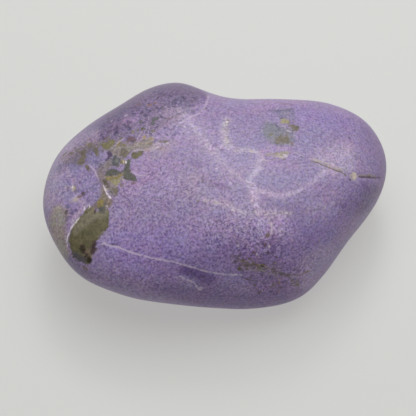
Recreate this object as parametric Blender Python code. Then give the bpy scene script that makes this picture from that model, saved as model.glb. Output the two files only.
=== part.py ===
"""A tumbled stichtite stone: one worn pebble, longer than it is wide, that rests on a small flat foot.

Run with: blender --background --python part.py
Metres, +Z up. The origin is under the middle of the stone, at the level of its foot, and +X runs along its
longest extent.
"""
import math

import bmesh
import bpy
import numpy as np

MM = 0.001

# The stone's widest contour: a wall whose axis leans forward from the vertical. It is laid out square to
# that axis, as directions in degrees, from +X towards the back, and radii in millimetres.
CONTOUR_LEAN_DEG = 30.0
CONTOUR = [
    (0, 18.25),
    (12, 19.05),
    (24, 18.2),
    (36, 15.75),
    (52, 12.45),
    (70, 10.45),
    (84, 10.05),
    (96, 10.7),
    (108, 12.15),
    (121, 12.85),
    (138, 13.5),
    (153, 15.15),
    (170, 17.8),
    (182, 18.4),
    (198, 17.3),
    (211, 16.3),
    (226, 14.35),
    (248, 12.6),
    (270, 12.75),
    (288, 14.5),
    (306, 16.4),
    (322, 15.25),
    (340, 15.3),
]

# Worn faces, each as the azimuth and elevation of its outward direction in degrees, and its distance in
# millimetres from the middle of the contour: the upper ones first, then the foot and the underside.
FACES = [
    (-155, 72, 8.6),
    (-112, 52, 10.8),
    (100, 80, 8.0),
    (25, 74, 9.0),
    (-52, 52, 11.2),
    (-78, 14, 11.2),
    (-38, 8, 14.2),
    (8, 36, 15.4),
    (165, 30, 16.5),
    (0, -90, 7.6),
    (-95, -64, 10.2),
    (75, -46, 10.2),
    (-20, -46, 13.6),
    (172, -44, 14.4),
    (-140, -58, 12.8),
    (130, -52, 12.6),
]

# Shallow hollows: azimuth and elevation of the middle in degrees, width and depth in millimetres.
HOLLOWS = [
    (62, 44, 4.0, 0.25),
    (-140, 30, 4.5, 0.2),
    (40, -38, 4.5, 0.45),
    (-165, -34, 4.0, 0.4),
    (-60, -50, 3.5, 0.3),
]

# How far wear has rounded the edges, in millimetres: an edge between square faces has 1.4 times this radius.
EDGE_WEAR = 1.33

# The level of the flat foot below the middle of the contour, in millimetres.
FOOT_DEPTH = 7.25

# Quads along each side of the cube that the stone is shaped from, and the stone's rough half extents, by
# which the directions of the cube's points are stretched.
GRID = 28
PROPORTIONS = (17.4, 12.4, 7.2)

# The search for the surface runs out to this distance, in millimetres, halving its step each time.
SEARCH_REACH = 24.0
SEARCH_STEPS = 40

STONE_COLOUR = (0.29, 0.22, 0.38, 1.0)
STONE_ROUGHNESS = 0.44


def direction(azimuth_deg, elevation_deg):
    azimuth = math.radians(azimuth_deg)
    elevation = math.radians(elevation_deg)
    level = math.cos(elevation)
    return np.array([level * math.cos(azimuth), level * math.sin(azimuth), math.sin(elevation)])


def contour_radius(angle):
    """The contour's radius at each angle: a smooth closed curve through its points."""
    turn = 2 * math.pi
    knots = np.radians([degrees for degrees, _ in CONTOUR])
    radii = np.array([radius for _, radius in CONTOUR])
    before = np.roll(knots, 1)
    before[0] -= turn
    after = np.roll(knots, -1)
    after[-1] += turn
    slopes = (np.roll(radii, -1) - np.roll(radii, 1)) / (after - before)

    angle = np.mod(angle, turn)
    start = np.searchsorted(knots, angle, side="right") - 1
    end = (start + 1) % len(knots)
    width = after[start] - knots[start]
    t = (angle - knots[start]) / width
    return (
        (2 * t**3 - 3 * t**2 + 1) * radii[start]
        + (t**3 - 2 * t**2 + t) * width * slopes[start]
        + (3 * t**2 - 2 * t**3) * radii[end]
        + (t**3 - t**2) * width * slopes[end]
    )


def worn_form(points):
    """How far each point lies outside the worn stone, in millimetres, below 0 inside it."""
    lean = math.radians(CONTOUR_LEAN_DEG)
    across = points[:, 0]
    up = points @ np.array([0.0, math.cos(lean), math.sin(lean)])
    beyond_wall = np.hypot(across, up) - contour_radius(np.arctan2(up, across))
    total = np.exp(beyond_wall / EDGE_WEAR)
    for azimuth, elevation, distance in FACES:
        beyond_face = points @ direction(azimuth, elevation) - distance
        total += np.exp(beyond_face / EDGE_WEAR)
    return EDGE_WEAR * np.log(total)


def surface_points(form, directions):
    """The points where the given directions, from the middle, meet the surface of a form."""
    inner = np.zeros(len(directions))
    outer = np.full(len(directions), SEARCH_REACH)
    for _ in range(SEARCH_STEPS):
        middle = (inner + outer) / 2
        inside = form(directions * middle[:, None]) < 0
        inner = np.where(inside, middle, inner)
        outer = np.where(inside, outer, middle)
    return directions * inner[:, None]


def hollowed_form(points):
    """The worn form with its shallow hollows."""
    beyond = worn_form(points)
    for azimuth, elevation, width, depth in HOLLOWS:
        middle = surface_points(worn_form, direction(azimuth, elevation)[None, :])[0]
        away = np.linalg.norm(points - middle, axis=1)
        beyond += depth * np.exp(-((away / width) ** 2))
    return beyond


def unit(vectors):
    return vectors / np.linalg.norm(vectors, axis=1, keepdims=True)


def spread_directions(bm):
    """Unit directions through a subdivided cube's points, spread so that the stone's quads are about equal."""
    corners = np.array([vert.co for vert in bm.verts])
    on_sphere = unit(np.tan(corners * math.pi / 4))
    return unit(on_sphere * PROPORTIONS)


def cut_flat_foot(bm, level):
    """Cut the stone off level and close the cut with one flat face."""
    geometry = bm.verts[:] + bm.edges[:] + bm.faces[:]
    cut = bmesh.ops.bisect_plane(
        bm, geom=geometry, plane_co=(0, 0, level), plane_no=(0, 0, -1), clear_outer=True
    )
    rim = [item for item in cut["geom_cut"] if isinstance(item, bmesh.types.BMEdge)]
    bmesh.ops.edgeloop_fill(bm, edges=rim)
    bmesh.ops.recalc_face_normals(bm, faces=bm.faces[:])


def centre_on_origin(bm):
    """Move the stone so that the origin is at the middle of the bottom of its box."""
    corners = np.array([vert.co for vert in bm.verts])
    low = corners.min(axis=0)
    high = corners.max(axis=0)
    middle = (low + high) / 2
    bmesh.ops.translate(bm, verts=bm.verts[:], vec=(-middle[0], -middle[1], -low[2]))


def stone_mesh():
    bm = bmesh.new()
    bmesh.ops.create_cube(bm, size=2.0)
    bmesh.ops.subdivide_edges(bm, edges=bm.edges[:], cuts=GRID - 1, use_grid_fill=True)
    points = surface_points(hollowed_form, spread_directions(bm)) * MM
    for vert, point in zip(bm.verts, points):
        vert.co = point
    cut_flat_foot(bm, -FOOT_DEPTH * MM)
    centre_on_origin(bm)
    mesh = bpy.data.meshes.new("stone")
    bm.to_mesh(mesh)
    bm.free()
    mesh.shade_smooth()
    mesh.set_sharp_from_angle(angle=math.radians(30))
    return mesh


def stone_material():
    material = bpy.data.materials.new("stichtite")
    material.use_nodes = True
    shader = material.node_tree.nodes["Principled BSDF"]
    shader.inputs["Base Color"].default_value = STONE_COLOUR
    shader.inputs["Roughness"].default_value = STONE_ROUGHNESS
    shader.inputs["Metallic"].default_value = 0.0
    return material


def clear_scene():
    for item in list(bpy.data.objects):
        bpy.data.objects.remove(item, do_unlink=True)


def main():
    clear_scene()
    collection = bpy.data.collections.new("Stichtite tumbled stone")
    bpy.context.scene.collection.children.link(collection)
    mesh = stone_mesh()
    mesh.materials.append(stone_material())
    stone = bpy.data.objects.new("stone", mesh)
    collection.objects.link(stone)


main()
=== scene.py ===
"""Looks of the stichtite tumbled stone: its surface and markings, the floor, the light and the camera."""
import math
from collections import namedtuple

import bmesh
import bpy
import numpy as np
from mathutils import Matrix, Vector
from mathutils.bvhtree import BVHTree


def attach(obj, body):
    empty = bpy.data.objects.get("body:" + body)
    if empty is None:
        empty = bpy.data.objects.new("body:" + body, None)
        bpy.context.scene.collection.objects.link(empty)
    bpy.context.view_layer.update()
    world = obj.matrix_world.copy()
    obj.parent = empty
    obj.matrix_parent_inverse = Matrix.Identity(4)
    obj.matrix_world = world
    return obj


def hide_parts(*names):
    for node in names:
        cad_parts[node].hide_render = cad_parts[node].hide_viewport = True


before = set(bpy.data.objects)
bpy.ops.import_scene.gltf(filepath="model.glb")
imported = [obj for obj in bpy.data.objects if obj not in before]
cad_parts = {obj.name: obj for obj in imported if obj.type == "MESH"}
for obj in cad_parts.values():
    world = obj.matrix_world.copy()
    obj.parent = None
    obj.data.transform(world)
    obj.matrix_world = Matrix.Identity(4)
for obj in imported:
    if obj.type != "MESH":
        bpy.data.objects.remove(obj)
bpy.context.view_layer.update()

MM = 0.001

# The stone's middle, from which its surface is spread out, and its rough half extents, in millimetres.
MIDDLE = Vector((0.0007, -0.6597, 7.2492)) * MM
PROPORTIONS = (17.4, 12.4, 7.2)

# Quads along each side of the cube that the surface is spread from, and how often each is then quartered.
GRID = 28
FINER = 2

# The picture: 416 pixels square, seen from the front and from above through a long lens. The stone's middle
# shows at MIDDLE_PIXEL, and there a millimetre is PIXELS_PER_MM pixels wide.
PICTURE = 416
MIDDLE_PIXEL = (215.8, 193.7)
PIXELS_PER_MM = 9.905
CAMERA_ELEVATION_DEG = 60.0
CAMERA_DISTANCE = 0.32
SENSOR_MM = 36.0


def unit(vectors):
    return vectors / np.linalg.norm(vectors, axis=1, keepdims=True)


class View:
    """A picture of the stone from one side. Markings are drawn in it, and laid on the stone through it.

    Its coordinates run right and down. It looks straight at centre, and shows the stone's middle at middle.
    """

    def __init__(self, azimuth_deg, elevation_deg, units_per_mm, centre, middle):
        azimuth = math.radians(azimuth_deg)
        elevation = math.radians(elevation_deg)
        level = math.cos(elevation)
        self.right = Vector((math.cos(azimuth), math.sin(azimuth), 0))
        self.outward = Vector((level * math.sin(azimuth), -level * math.cos(azimuth), math.sin(elevation)))
        self.up = self.outward.cross(self.right)
        self.units_per_mm = units_per_mm
        self.centre = centre
        self.aim = Vector(MIDDLE)
        self.aim = self.spot(2 * centre[0] - middle[0], 2 * centre[1] - middle[1])
        self.eye = self.aim + self.outward * CAMERA_DISTANCE

    def spot(self, x, y):
        """The point on the view's middle plane that shows at x, y."""
        scale = MM / self.units_per_mm
        return self.aim + self.right * (x - self.centre[0]) * scale - self.up * (y - self.centre[1]) * scale

    def hit(self, tree, x, y):
        """The point of the surface that shows at x, y."""
        return tree.ray_cast(self.eye, (self.spot(x, y) - self.eye).normalized())[0]

    def places(self, points):
        """Where points show in the view."""
        offsets = points - np.array(self.eye)
        scale = CAMERA_DISTANCE / -(offsets @ np.array(self.outward)) * self.units_per_mm / MM
        x = self.centre[0] + offsets @ np.array(self.right) * scale
        y = self.centre[1] - offsets @ np.array(self.up) * scale
        return np.stack([x, y], axis=1)

    def facing(self, points, normals):
        """How squarely each point of the surface faces the view, below 0 where it faces away."""
        return (unit(np.array(self.eye) - points) * normals).sum(axis=1)


# The front view is the picture. The other two are measured in tenths of a millimetre from the stone's middle.
FRONT = View(0, CAMERA_ELEVATION_DEG, PIXELS_PER_MM, (PICTURE / 2, PICTURE / 2), MIDDLE_PIXEL)
BACK = View(180, 15, 10.0, (0, 0), (0, 0))
UNDER = View(0, -90, 10.0, (0, 0), (0, 0))


def tint(red, green, blue):
    """The linear colour of an 8-bit sRGB colour."""
    parts = np.array([red, green, blue]) / 255
    return np.where(parts <= 0.04045, parts / 12.92, ((parts + 0.055) / 1.055) ** 2.4)


# The minerals' colours. Some of them also paint sheen, glints and a rim reflection where the polish takes the
# light.
LILAC = tint(153, 133, 175)
VIOLET = tint(148, 125, 184)
BLUISH_LILAC = tint(144, 132, 173)
PINK_LILAC = tint(168, 140, 184)
PALE_LILAC = tint(188, 171, 198)
# Painted sheen: a light lilac used only for the zones where the edge to the front takes the light.
SHEEN_LILAC = tint(192, 168, 212)
ROSE_LILAC = tint(194, 172, 204)
PALE_PINK = tint(182, 164, 188)
PINK_GREY = tint(164, 147, 166)
GREY_LILAC = tint(122, 108, 138)
DIM_LILAC = tint(112, 98, 128)
DEEP_PURPLE = tint(112, 86, 144)
VIVID_PURPLE = tint(118, 84, 138)
DARK_PURPLE = tint(84, 68, 100)
BLUE_GREY = tint(96, 90, 120)
DEEP_BLUE = tint(84, 74, 112)
PINK_VEIN = tint(206, 190, 210)
# White, for the white veins and for painted glints.
WHITE_VEIN_AND_GLINT = tint(232, 222, 226)
CREAM = tint(192, 178, 168)
PEACH = tint(168, 140, 132)
OCHRE = tint(140, 124, 76)
GOLD = tint(168, 146, 102)
TAN_GREY = tint(162, 151, 142)
ORANGE_BROWN = tint(138, 104, 96)
RED_BROWN = tint(112, 84, 98)
OLIVE = tint(104, 98, 71)
LIGHT_OLIVE = tint(126, 119, 98)
LEAF_OLIVE = tint(160, 150, 116)
GREEN_OLIVE = tint(124, 117, 86)
DARK_OLIVE = tint(92, 82, 70)
BROWN = tint(128, 112, 92)
OLIVE_BROWN = tint(116, 106, 94)
BROWN_GREY = tint(132, 119, 120)
GREEN_GREY = tint(142, 133, 126)
DARK_GREY = tint(88, 82, 84)
UMBER = tint(82, 64, 68)
DARK_BROWN = tint(52, 42, 34)
DARK_GREEN = tint(92, 90, 84)
SLATE = tint(94, 93, 98)
PALE_SLATE = tint(124, 124, 122)
SMOKE = tint(126, 124, 138)

# The kinds of marks. Lengths are in the view's units, apart from a groove's depth, which is in millimetres.
# A soft zone, painted into the ground.
Zone = namedtuple("Zone", "colour strength softness outline")
# A soft band, painted into the ground along a line.
Haze = namedtuple("Haze", "colour strength half_width line")
# A patch with a ragged edge, crisper where its softness is less.
Patch = namedtuple("Patch", "colour softness outline")
# A small round or oval spot: stretch is its length over its width, and turn its length's angle from level.
Spot = namedtuple("Spot", "colour strength radius place stretch turn", defaults=(1.0, 0.0))
# A fine line.
Vein = namedtuple("Vein", "colour strength width line")
# A line that is cut in.
Groove = namedtuple("Groove", "depth half_width line")
# How strong something is inside an outline.
Area = namedtuple("Area", "strength softness outline")

# What the picture shows, in its pixels.
FRONT_ZONES = [
    Zone(
        GREY_LILAC, 0.9, 7,
        [(62, 160), (100, 116), (150, 84), (190, 80), (202, 96), (168, 126), (112, 146), (70, 172)],
    ),
    Zone(DIM_LILAC, 0.5, 5, [(146, 86), (170, 78), (196, 84), (208, 93), (200, 102), (180, 104), (160, 99)]),
    Zone(DIM_LILAC, 0.4, 5, [(104, 118), (130, 103), (146, 108), (142, 124), (124, 132), (106, 134)]),
    Zone(
        PALE_PINK, 0.3, 6,
        [(160, 116), (170, 108), (182, 108), (194, 118), (203, 130), (210, 146), (198, 145), (172, 125)],
    ),
    Zone(PINK_GREY, 0.45, 5, [(150, 142), (164, 139), (176, 142), (166, 155), (152, 160), (146, 154)]),
    Zone(PINK_GREY, 0.3, 9, [(176, 172), (196, 170), (214, 184), (206, 200), (186, 198)]),
    Zone(
        VIOLET, 0.7, 12,
        [
            (112, 232), (180, 226), (250, 240), (300, 216), (344, 206), (336, 236), (300, 280), (180, 284),
            (110, 262),
        ],
    ),
    Zone(
        BLUISH_LILAC, 0.75, 5,
        [(55, 172), (74, 164), (90, 172), (101, 186), (97, 202), (84, 206), (66, 208), (52, 196)],
    ),
    Zone(
        PALE_LILAC, 0.45, 6,
        [(42, 180), (52, 160), (66, 142), (72, 148), (64, 170), (66, 192), (58, 206), (44, 206)],
    ),
    # Painted light: a paler zone that lightens the lower right of the front, standing in for light the lamps
    # don't give there.
    Zone(PALE_LILAC, 0.35, 6, [(296, 266), (318, 246), (332, 248), (320, 272), (302, 292), (288, 290)]),
    Zone(PINK_LILAC, 0.5, 9, [(134, 160), (160, 156), (178, 176), (168, 198), (140, 196), (128, 188)]),
    Zone(
        TAN_GREY, 0.85, 3.5,
        [(54, 207), (62, 206), (68, 213), (66, 226), (67, 240), (69, 254), (65, 260), (55, 244), (49, 222)],
    ),
    Zone(GREY_LILAC, 0.5, 4, [(64, 256), (74, 258), (84, 266), (92, 274), (84, 278), (68, 268)]),
    Zone(
        BROWN_GREY, 0.45, 3,
        [(62, 156), (74, 149), (86, 143), (98, 140), (98, 148), (88, 150), (82, 164), (72, 163), (63, 161)],
    ),
    Zone(PALE_LILAC, 0.4, 5, [(64, 150), (80, 136), (96, 128), (100, 138), (84, 144), (68, 156)]),
    Zone(
        GREEN_GREY, 0.9, 2.5,
        [
            (104, 147), (119, 143), (128, 145), (138, 141), (150, 137), (153, 141), (149, 149), (132, 152),
            (118, 158),
        ],
    ),
    Zone(
        BROWN_GREY, 0.9, 2.5,
        [(97, 166), (104, 161), (111, 157), (113, 166), (107, 170), (104, 178), (104, 186), (98, 178)],
    ),
    Zone(
        BROWN, 0.9, 2,
        [
            (101, 186), (104, 188), (108, 196), (113, 201), (108, 208), (96, 209), (91, 207), (98, 200),
            (101, 193),
        ],
    ),
    Zone(
        GREEN_GREY, 0.8, 2,
        [(104, 177), (121, 174), (123, 179), (117, 186), (114, 196), (109, 192), (104, 186)],
    ),
    Zone(BLUISH_LILAC, 0.7, 3, [(90, 155), (104, 154), (105, 162), (97, 168), (89, 163)]),
    Zone(DEEP_PURPLE, 0.95, 3, [(184, 266), (205, 271), (216, 279), (208, 285), (194, 278), (180, 272)]),
    Zone(
        DEEP_PURPLE, 0.6, 7,
        [(150, 286), (216, 284), (246, 292), (290, 286), (302, 294), (260, 306), (190, 304)],
    ),
    Zone(
        VIVID_PURPLE, 0.25, 6,
        [(238, 254), (262, 256), (288, 260), (304, 273), (292, 288), (262, 290), (244, 278)],
    ),
    Zone(VIVID_PURPLE, 0.25, 5, [(262, 238), (278, 236), (284, 250), (270, 258), (260, 250)]),
    Zone(VIVID_PURPLE, 0.3, 5, [(250, 278), (266, 276), (284, 278), (290, 286), (272, 292), (254, 288)]),
    Zone(BROWN, 0.3, 4, [(238, 262), (252, 260), (266, 264), (280, 266), (280, 272), (264, 273), (244, 271)]),
    Zone(PINK_LILAC, 0.5, 6, [(252, 101), (296, 100), (300, 107), (276, 108), (250, 109)]),
    Zone(
        SMOKE, 0.85, 3,
        [(263, 124), (272, 122), (281, 127), (292, 128), (294, 140), (292, 145), (276, 145), (264, 138)],
    ),
    Zone(SMOKE, 0.5, 3, [(276, 109), (292, 108), (297, 116), (294, 124), (280, 118)]),
    # A pale zone where the upper right face looks milky: partly paler stone, partly painted sheen.
    Zone(PALE_LILAC, 0.6, 8, [(314, 154), (338, 142), (352, 150), (355, 170), (334, 177), (321, 168)]),
    Zone(BLUISH_LILAC, 0.6, 8, [(232, 118), (262, 116), (264, 142), (236, 146)]),
    Zone(BLUISH_LILAC, 0.7, 6, [(254, 182), (280, 176), (300, 178), (290, 190), (268, 190)]),
    Zone(BLUISH_LILAC, 0.5, 9, [(300, 128), (340, 122), (346, 138), (318, 152), (300, 146)]),
    Zone(
        DEEP_PURPLE, 0.4, 7,
        [(346, 194), (354, 186), (368, 180), (378, 186), (368, 204), (350, 216), (334, 212)],
    ),
    Zone(DIM_LILAC, 0.5, 5, [(364, 190), (378, 184), (380, 192), (366, 212), (356, 214)]),
    Zone(
        DEEP_PURPLE, 0.35, 8,
        [(350, 116), (366, 118), (384, 140), (390, 164), (384, 182), (372, 176), (368, 152)],
    ),
    Zone(VIOLET, 0.5, 9, [(296, 108), (330, 112), (352, 118), (352, 132), (318, 126), (296, 122)]),
    Zone(PALE_LILAC, 0.3, 7, [(306, 206), (322, 200), (344, 201), (340, 216), (314, 226), (300, 220)]),
    # Painted light: paler zones where the edge to the front and the face below it take the light, with a
    # painted highlight in the brightest.
    Zone(SHEEN_LILAC, 0.15, 8, [(180, 226), (214, 222), (226, 238), (212, 252), (184, 250)]),
    Zone(SHEEN_LILAC, 0.35, 9, [(236, 214), (286, 218), (300, 236), (276, 248), (236, 244), (226, 230)]),
    Zone(SHEEN_LILAC, 0.8, 5, [(256, 218), (270, 212), (286, 218), (284, 232), (272, 238), (260, 232)]),
]

FRONT_HAZES = [
    # The hazes down to the one that ends at (352, 145) are the pale bands over the upper face and along the
    # edge to the front: partly paler stone, partly painted sheen where the polish takes the light.
    Haze(
        PALE_PINK, 0.45, 3.4,
        [(198, 132), (204, 140), (211, 150), (221, 163), (230, 171), (240, 178), (252, 185)],
    ),
    Haze(PALE_LILAC, 0.6, 3.0, [(259, 160), (258, 168), (252, 175), (249, 184), (256, 190)]),
    Haze(ROSE_LILAC, 0.75, 2.7, [(250, 184), (258, 190), (268, 193), (280, 196), (292, 193)]),
    Haze(ROSE_LILAC, 0.6, 2.5, [(292, 193), (305, 187), (318, 177), (330, 168)]),
    Haze(ROSE_LILAC, 0.4, 1.8, [(178, 110), (188, 120), (198, 132), (208, 143), (218, 155), (226, 164)]),
    Haze(
        PALE_PINK, 0.75, 3,
        [(206, 201), (225, 204), (242, 212), (253, 212), (266, 215), (278, 213), (290, 213)],
    ),
    Haze(ROSE_LILAC, 0.95, 3.4, [(253, 192), (255, 202), (259, 211)]),
    Haze(ROSE_LILAC, 0.5, 2.6, [(330, 168), (338, 160), (346, 152), (352, 145)]),
    Haze(PALE_LILAC, 0.6, 4, [(272, 214), (271, 222)]),
    Haze(PALE_LILAC, 0.5, 5, [(228, 120), (224, 130), (226, 142)]),
    Haze(CREAM, 0.45, 3.2, [(228, 120), (225, 128), (226, 136), (228, 143)]),
    Haze(PALE_PINK, 0.8, 3.0, [(220, 147), (228, 147), (238, 150), (248, 150), (258, 152), (262, 160)]),
    Haze(ROSE_LILAC, 0.5, 3.0, [(222, 147), (230, 147)]),
    Haze(PINK_LILAC, 0.7, 2.2, [(262, 151), (275, 149), (288, 147.5)]),
    Haze(PINK_LILAC, 0.6, 2.0, [(272, 104), (276, 108), (292, 106)]),
    Haze(RED_BROWN, 0.6, 1.6, [(280, 103), (286, 104), (291, 104)]),
    Haze(BLUE_GREY, 0.5, 2.2, [(270, 111), (276, 111), (283, 110), (291, 109)]),
    Haze(VIVID_PURPLE, 0.6, 3.4, [(199, 90), (203, 95), (205, 99)]),
    Haze(VIVID_PURPLE, 0.5, 3, [(204, 180), (216, 184), (228, 190)]),
    Haze(VIVID_PURPLE, 0.5, 3, [(192, 160), (200, 166)]),
    Haze(VIVID_PURPLE, 0.5, 2.6, [(273, 236), (272, 244), (272, 250)]),
    Haze(VIVID_PURPLE, 0.5, 3, [(362, 184), (368, 189)]),
    Haze(VIVID_PURPLE, 0.4, 3.5, [(338, 204), (346, 206)]),
    Haze(VIVID_PURPLE, 0.4, 3, [(366, 130), (369, 136)]),
    Haze(PINK_LILAC, 0.5, 3.5, [(134, 183), (142, 182), (148, 181)]),
    Haze(PINK_LILAC, 0.5, 3.5, [(126, 120), (136, 120), (138, 112)]),
    Haze(BLUE_GREY, 0.45, 3.4, [(100, 128), (108, 126), (112, 118), (120, 120)]),
    Haze(BLUE_GREY, 0.45, 2.6, [(120, 110), (126, 109), (130, 108)]),
    Haze(BLUE_GREY, 0.4, 3, [(60, 172), (58, 168), (64, 164)]),
    Haze(PEACH, 0.5, 2.6, [(150, 149), (156, 147), (163, 149)]),
    Haze(PALE_PINK, 0.7, 2.6, [(72, 200), (76, 199), (81, 202), (85, 207), (78, 214), (73, 221)]),
    Haze(PALE_PINK, 0.6, 2.4, [(72, 186), (73, 180), (69, 174), (67, 168)]),
    # Painted reflection: a greyish strip along the lower rim, where the polish shows the floor's light.
    Haze(GREY_LILAC, 0.25, 4, [(178, 299), (210, 303), (260, 305), (292, 301)]),
]

FRONT_PATCHES = [
    Patch(
        OLIVE, 1.0,
        [
            (82, 215), (86, 209), (90, 206), (93, 212), (97, 213), (102, 213), (108, 209), (109, 225),
            (106, 231), (101, 236), (97, 241), (94.5, 246), (94, 253), (91.5, 256), (90.5, 262), (87, 264.5),
            (81, 261), (75, 258), (71.5, 253), (70, 245), (68.5, 238), (70, 233), (73, 227), (77, 220),
        ],
    ),
    Patch(
        LIGHT_OLIVE, 3.0,
        [(83, 216), (92, 210), (99, 216), (90, 224), (80, 232), (75, 236), (73, 230), (77, 221)],
    ),
    Patch(BROWN, 3.0, [(84, 252), (90, 248), (93, 254), (89, 258), (85, 257)]),
    Patch(LIGHT_OLIVE, 2.0, [(97, 211), (102, 209), (107, 210), (107.6, 215), (102, 219), (97, 218)]),
    Patch(DARK_GREEN, 1.4, [(98, 209.6), (100.6, 207.4), (105, 208.2), (104.6, 211), (100.6, 212.6)]),
    Patch(UMBER, 1.8, [(93, 242), (96.5, 241), (95.5, 250), (92.5, 255), (90.5, 250)]),
    Patch(DARK_GREY, 2.4, [(71, 252), (76, 252), (81, 255), (86, 258), (86, 264), (80, 261), (74, 258)]),
    Patch(
        GREEN_OLIVE, 1.4,
        [
            (101, 144), (104, 142.4), (109, 142.4), (113.5, 140.6), (115, 142.5), (112.5, 145.5), (110, 149),
            (106, 149.5), (102, 147),
        ],
    ),
    Patch(
        OLIVE_BROWN, 1.4,
        [(92.5, 149.5), (95, 147.5), (98, 149), (99.2, 153), (98.4, 157), (95.8, 155.4), (93.8, 152)],
    ),
    Patch(
        OLIVE_BROWN, 1.6,
        [(120, 150.5), (124, 148.6), (128, 150.5), (127.6, 156), (124, 158.6), (121, 156)],
    ),
    Patch(
        DARK_PURPLE, 1.4,
        [(107.2, 151.6), (110.5, 151.8), (112, 155), (109, 158.4), (106.4, 160.6), (107.4, 156)],
    ),
    Patch(
        SLATE, 1.2,
        [(113, 157), (116, 155.6), (119.8, 158), (119.6, 163), (117, 166), (113, 165.6), (112, 161)],
    ),
    Patch(OCHRE, 1.0, [(120.6, 160.4), (123.4, 159.8), (125.4, 162), (123.4, 164.2), (120.8, 163.4)]),
    Patch(
        DARK_GREEN, 1.2,
        [
            (122.5, 171.5), (124.6, 167.6), (127, 160), (129.8, 160), (130, 168), (131, 173), (134.5, 175.5),
            (137.6, 181.4), (131, 180.8), (126, 180.8), (123.4, 178),
        ],
    ),
    Patch(
        DARK_GREEN, 1.2,
        [
            (104.6, 174.4), (108, 170), (112, 168.4), (118, 170), (123, 172.4), (118, 174.6), (112, 176),
            (106, 176.6),
        ],
    ),
    Patch(
        OCHRE, 1.6,
        [
            (104, 177.4), (112, 176.6), (118, 175), (123, 173), (122.4, 176.6), (117.5, 179.4), (111, 179.6),
            (105, 180.5),
        ],
    ),
    Patch(
        LEAF_OLIVE, 1.2,
        [(108, 179.4), (112, 180.4), (117, 179), (121, 177.6), (119.4, 182), (116, 185.6), (111.6, 183.4)],
    ),
    Patch(
        DARK_OLIVE, 1.2,
        [(103.6, 178), (106.4, 179), (107.6, 183), (110.4, 187), (108.4, 188), (104.6, 184)],
    ),
    Patch(OLIVE_BROWN, 1.6, [(112, 187.4), (116, 187), (118.4, 190), (115.4, 197), (113.4, 193)]),
    Patch(
        OCHRE, 1.0,
        [(97, 203.4), (99.6, 199.6), (102.6, 199.4), (104, 202.6), (101.8, 206.4), (98.4, 207)],
    ),
    Patch(
        OLIVE, 1.0,
        [(130.6, 155), (133, 152.6), (138, 152), (143, 151), (142, 154.4), (138, 157.6), (133, 158.4)],
    ),
    Patch(
        RED_BROWN, 1.2,
        [(127, 138.4), (130, 136.6), (135.6, 137.6), (135, 142.4), (131, 142), (128, 140.6)],
    ),
    Patch(
        SLATE, 1.2,
        [
            (151.4, 118.6), (154, 116.8), (158.6, 117), (158.6, 119.6), (155.4, 121.4), (154, 126.4),
            (151.4, 124),
        ],
    ),
    Patch(
        OLIVE_BROWN, 1.6,
        [(80.6, 151), (85.4, 149.4), (85.6, 155), (84.4, 164), (80, 165), (78.6, 160.4), (81, 156)],
    ),
    Patch(OLIVE_BROWN, 1.2, [(84.4, 166), (89, 166), (90.8, 170.4), (88.8, 171.4), (85.6, 168.6)]),
    Patch(OLIVE_BROWN, 1.6, [(88, 143), (93, 145), (97, 144.6), (96, 147.4), (91, 148), (87.6, 145.6)]),
    Patch(
        SMOKE, 1.6,
        [(263.4, 128), (270, 125.6), (276, 129), (281, 129), (280, 134), (271, 139), (264.6, 136)],
    ),
    Patch(OLIVE_BROWN, 2.4, [(276, 138), (281, 136), (287, 137), (290.4, 140), (286, 143.4), (277, 143)]),
    Patch(OLIVE_BROWN, 1.6, [(291.4, 126.6), (295, 124.6), (299, 127), (297.4, 131), (293, 131)]),
    Patch(
        LEAF_OLIVE, 1.8,
        [(280.6, 121), (284, 119.4), (288.6, 120.6), (288, 123), (284, 124), (281, 123.4)],
    ),
    Patch(OLIVE_BROWN, 1.6, [(286.6, 122.6), (291, 123.4), (296.4, 126.4), (294, 129), (289, 126.6)]),
    Patch(
        TAN_GREY, 1.6,
        [(264, 155), (271, 153.4), (279, 152.4), (287.6, 151.8), (288.4, 154.6), (282, 157.4), (273, 156.2)],
    ),
    Patch(OCHRE, 1.0, [(266, 154.8), (271, 153.8), (278, 152.6), (278.4, 153.8), (272, 155), (267, 155.8)]),
    Patch(
        CREAM, 1.2,
        [(350.8, 175), (353, 172.8), (356.4, 173.4), (357.6, 176.6), (355.4, 179.6), (351.8, 179)],
    ),
]

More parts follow.
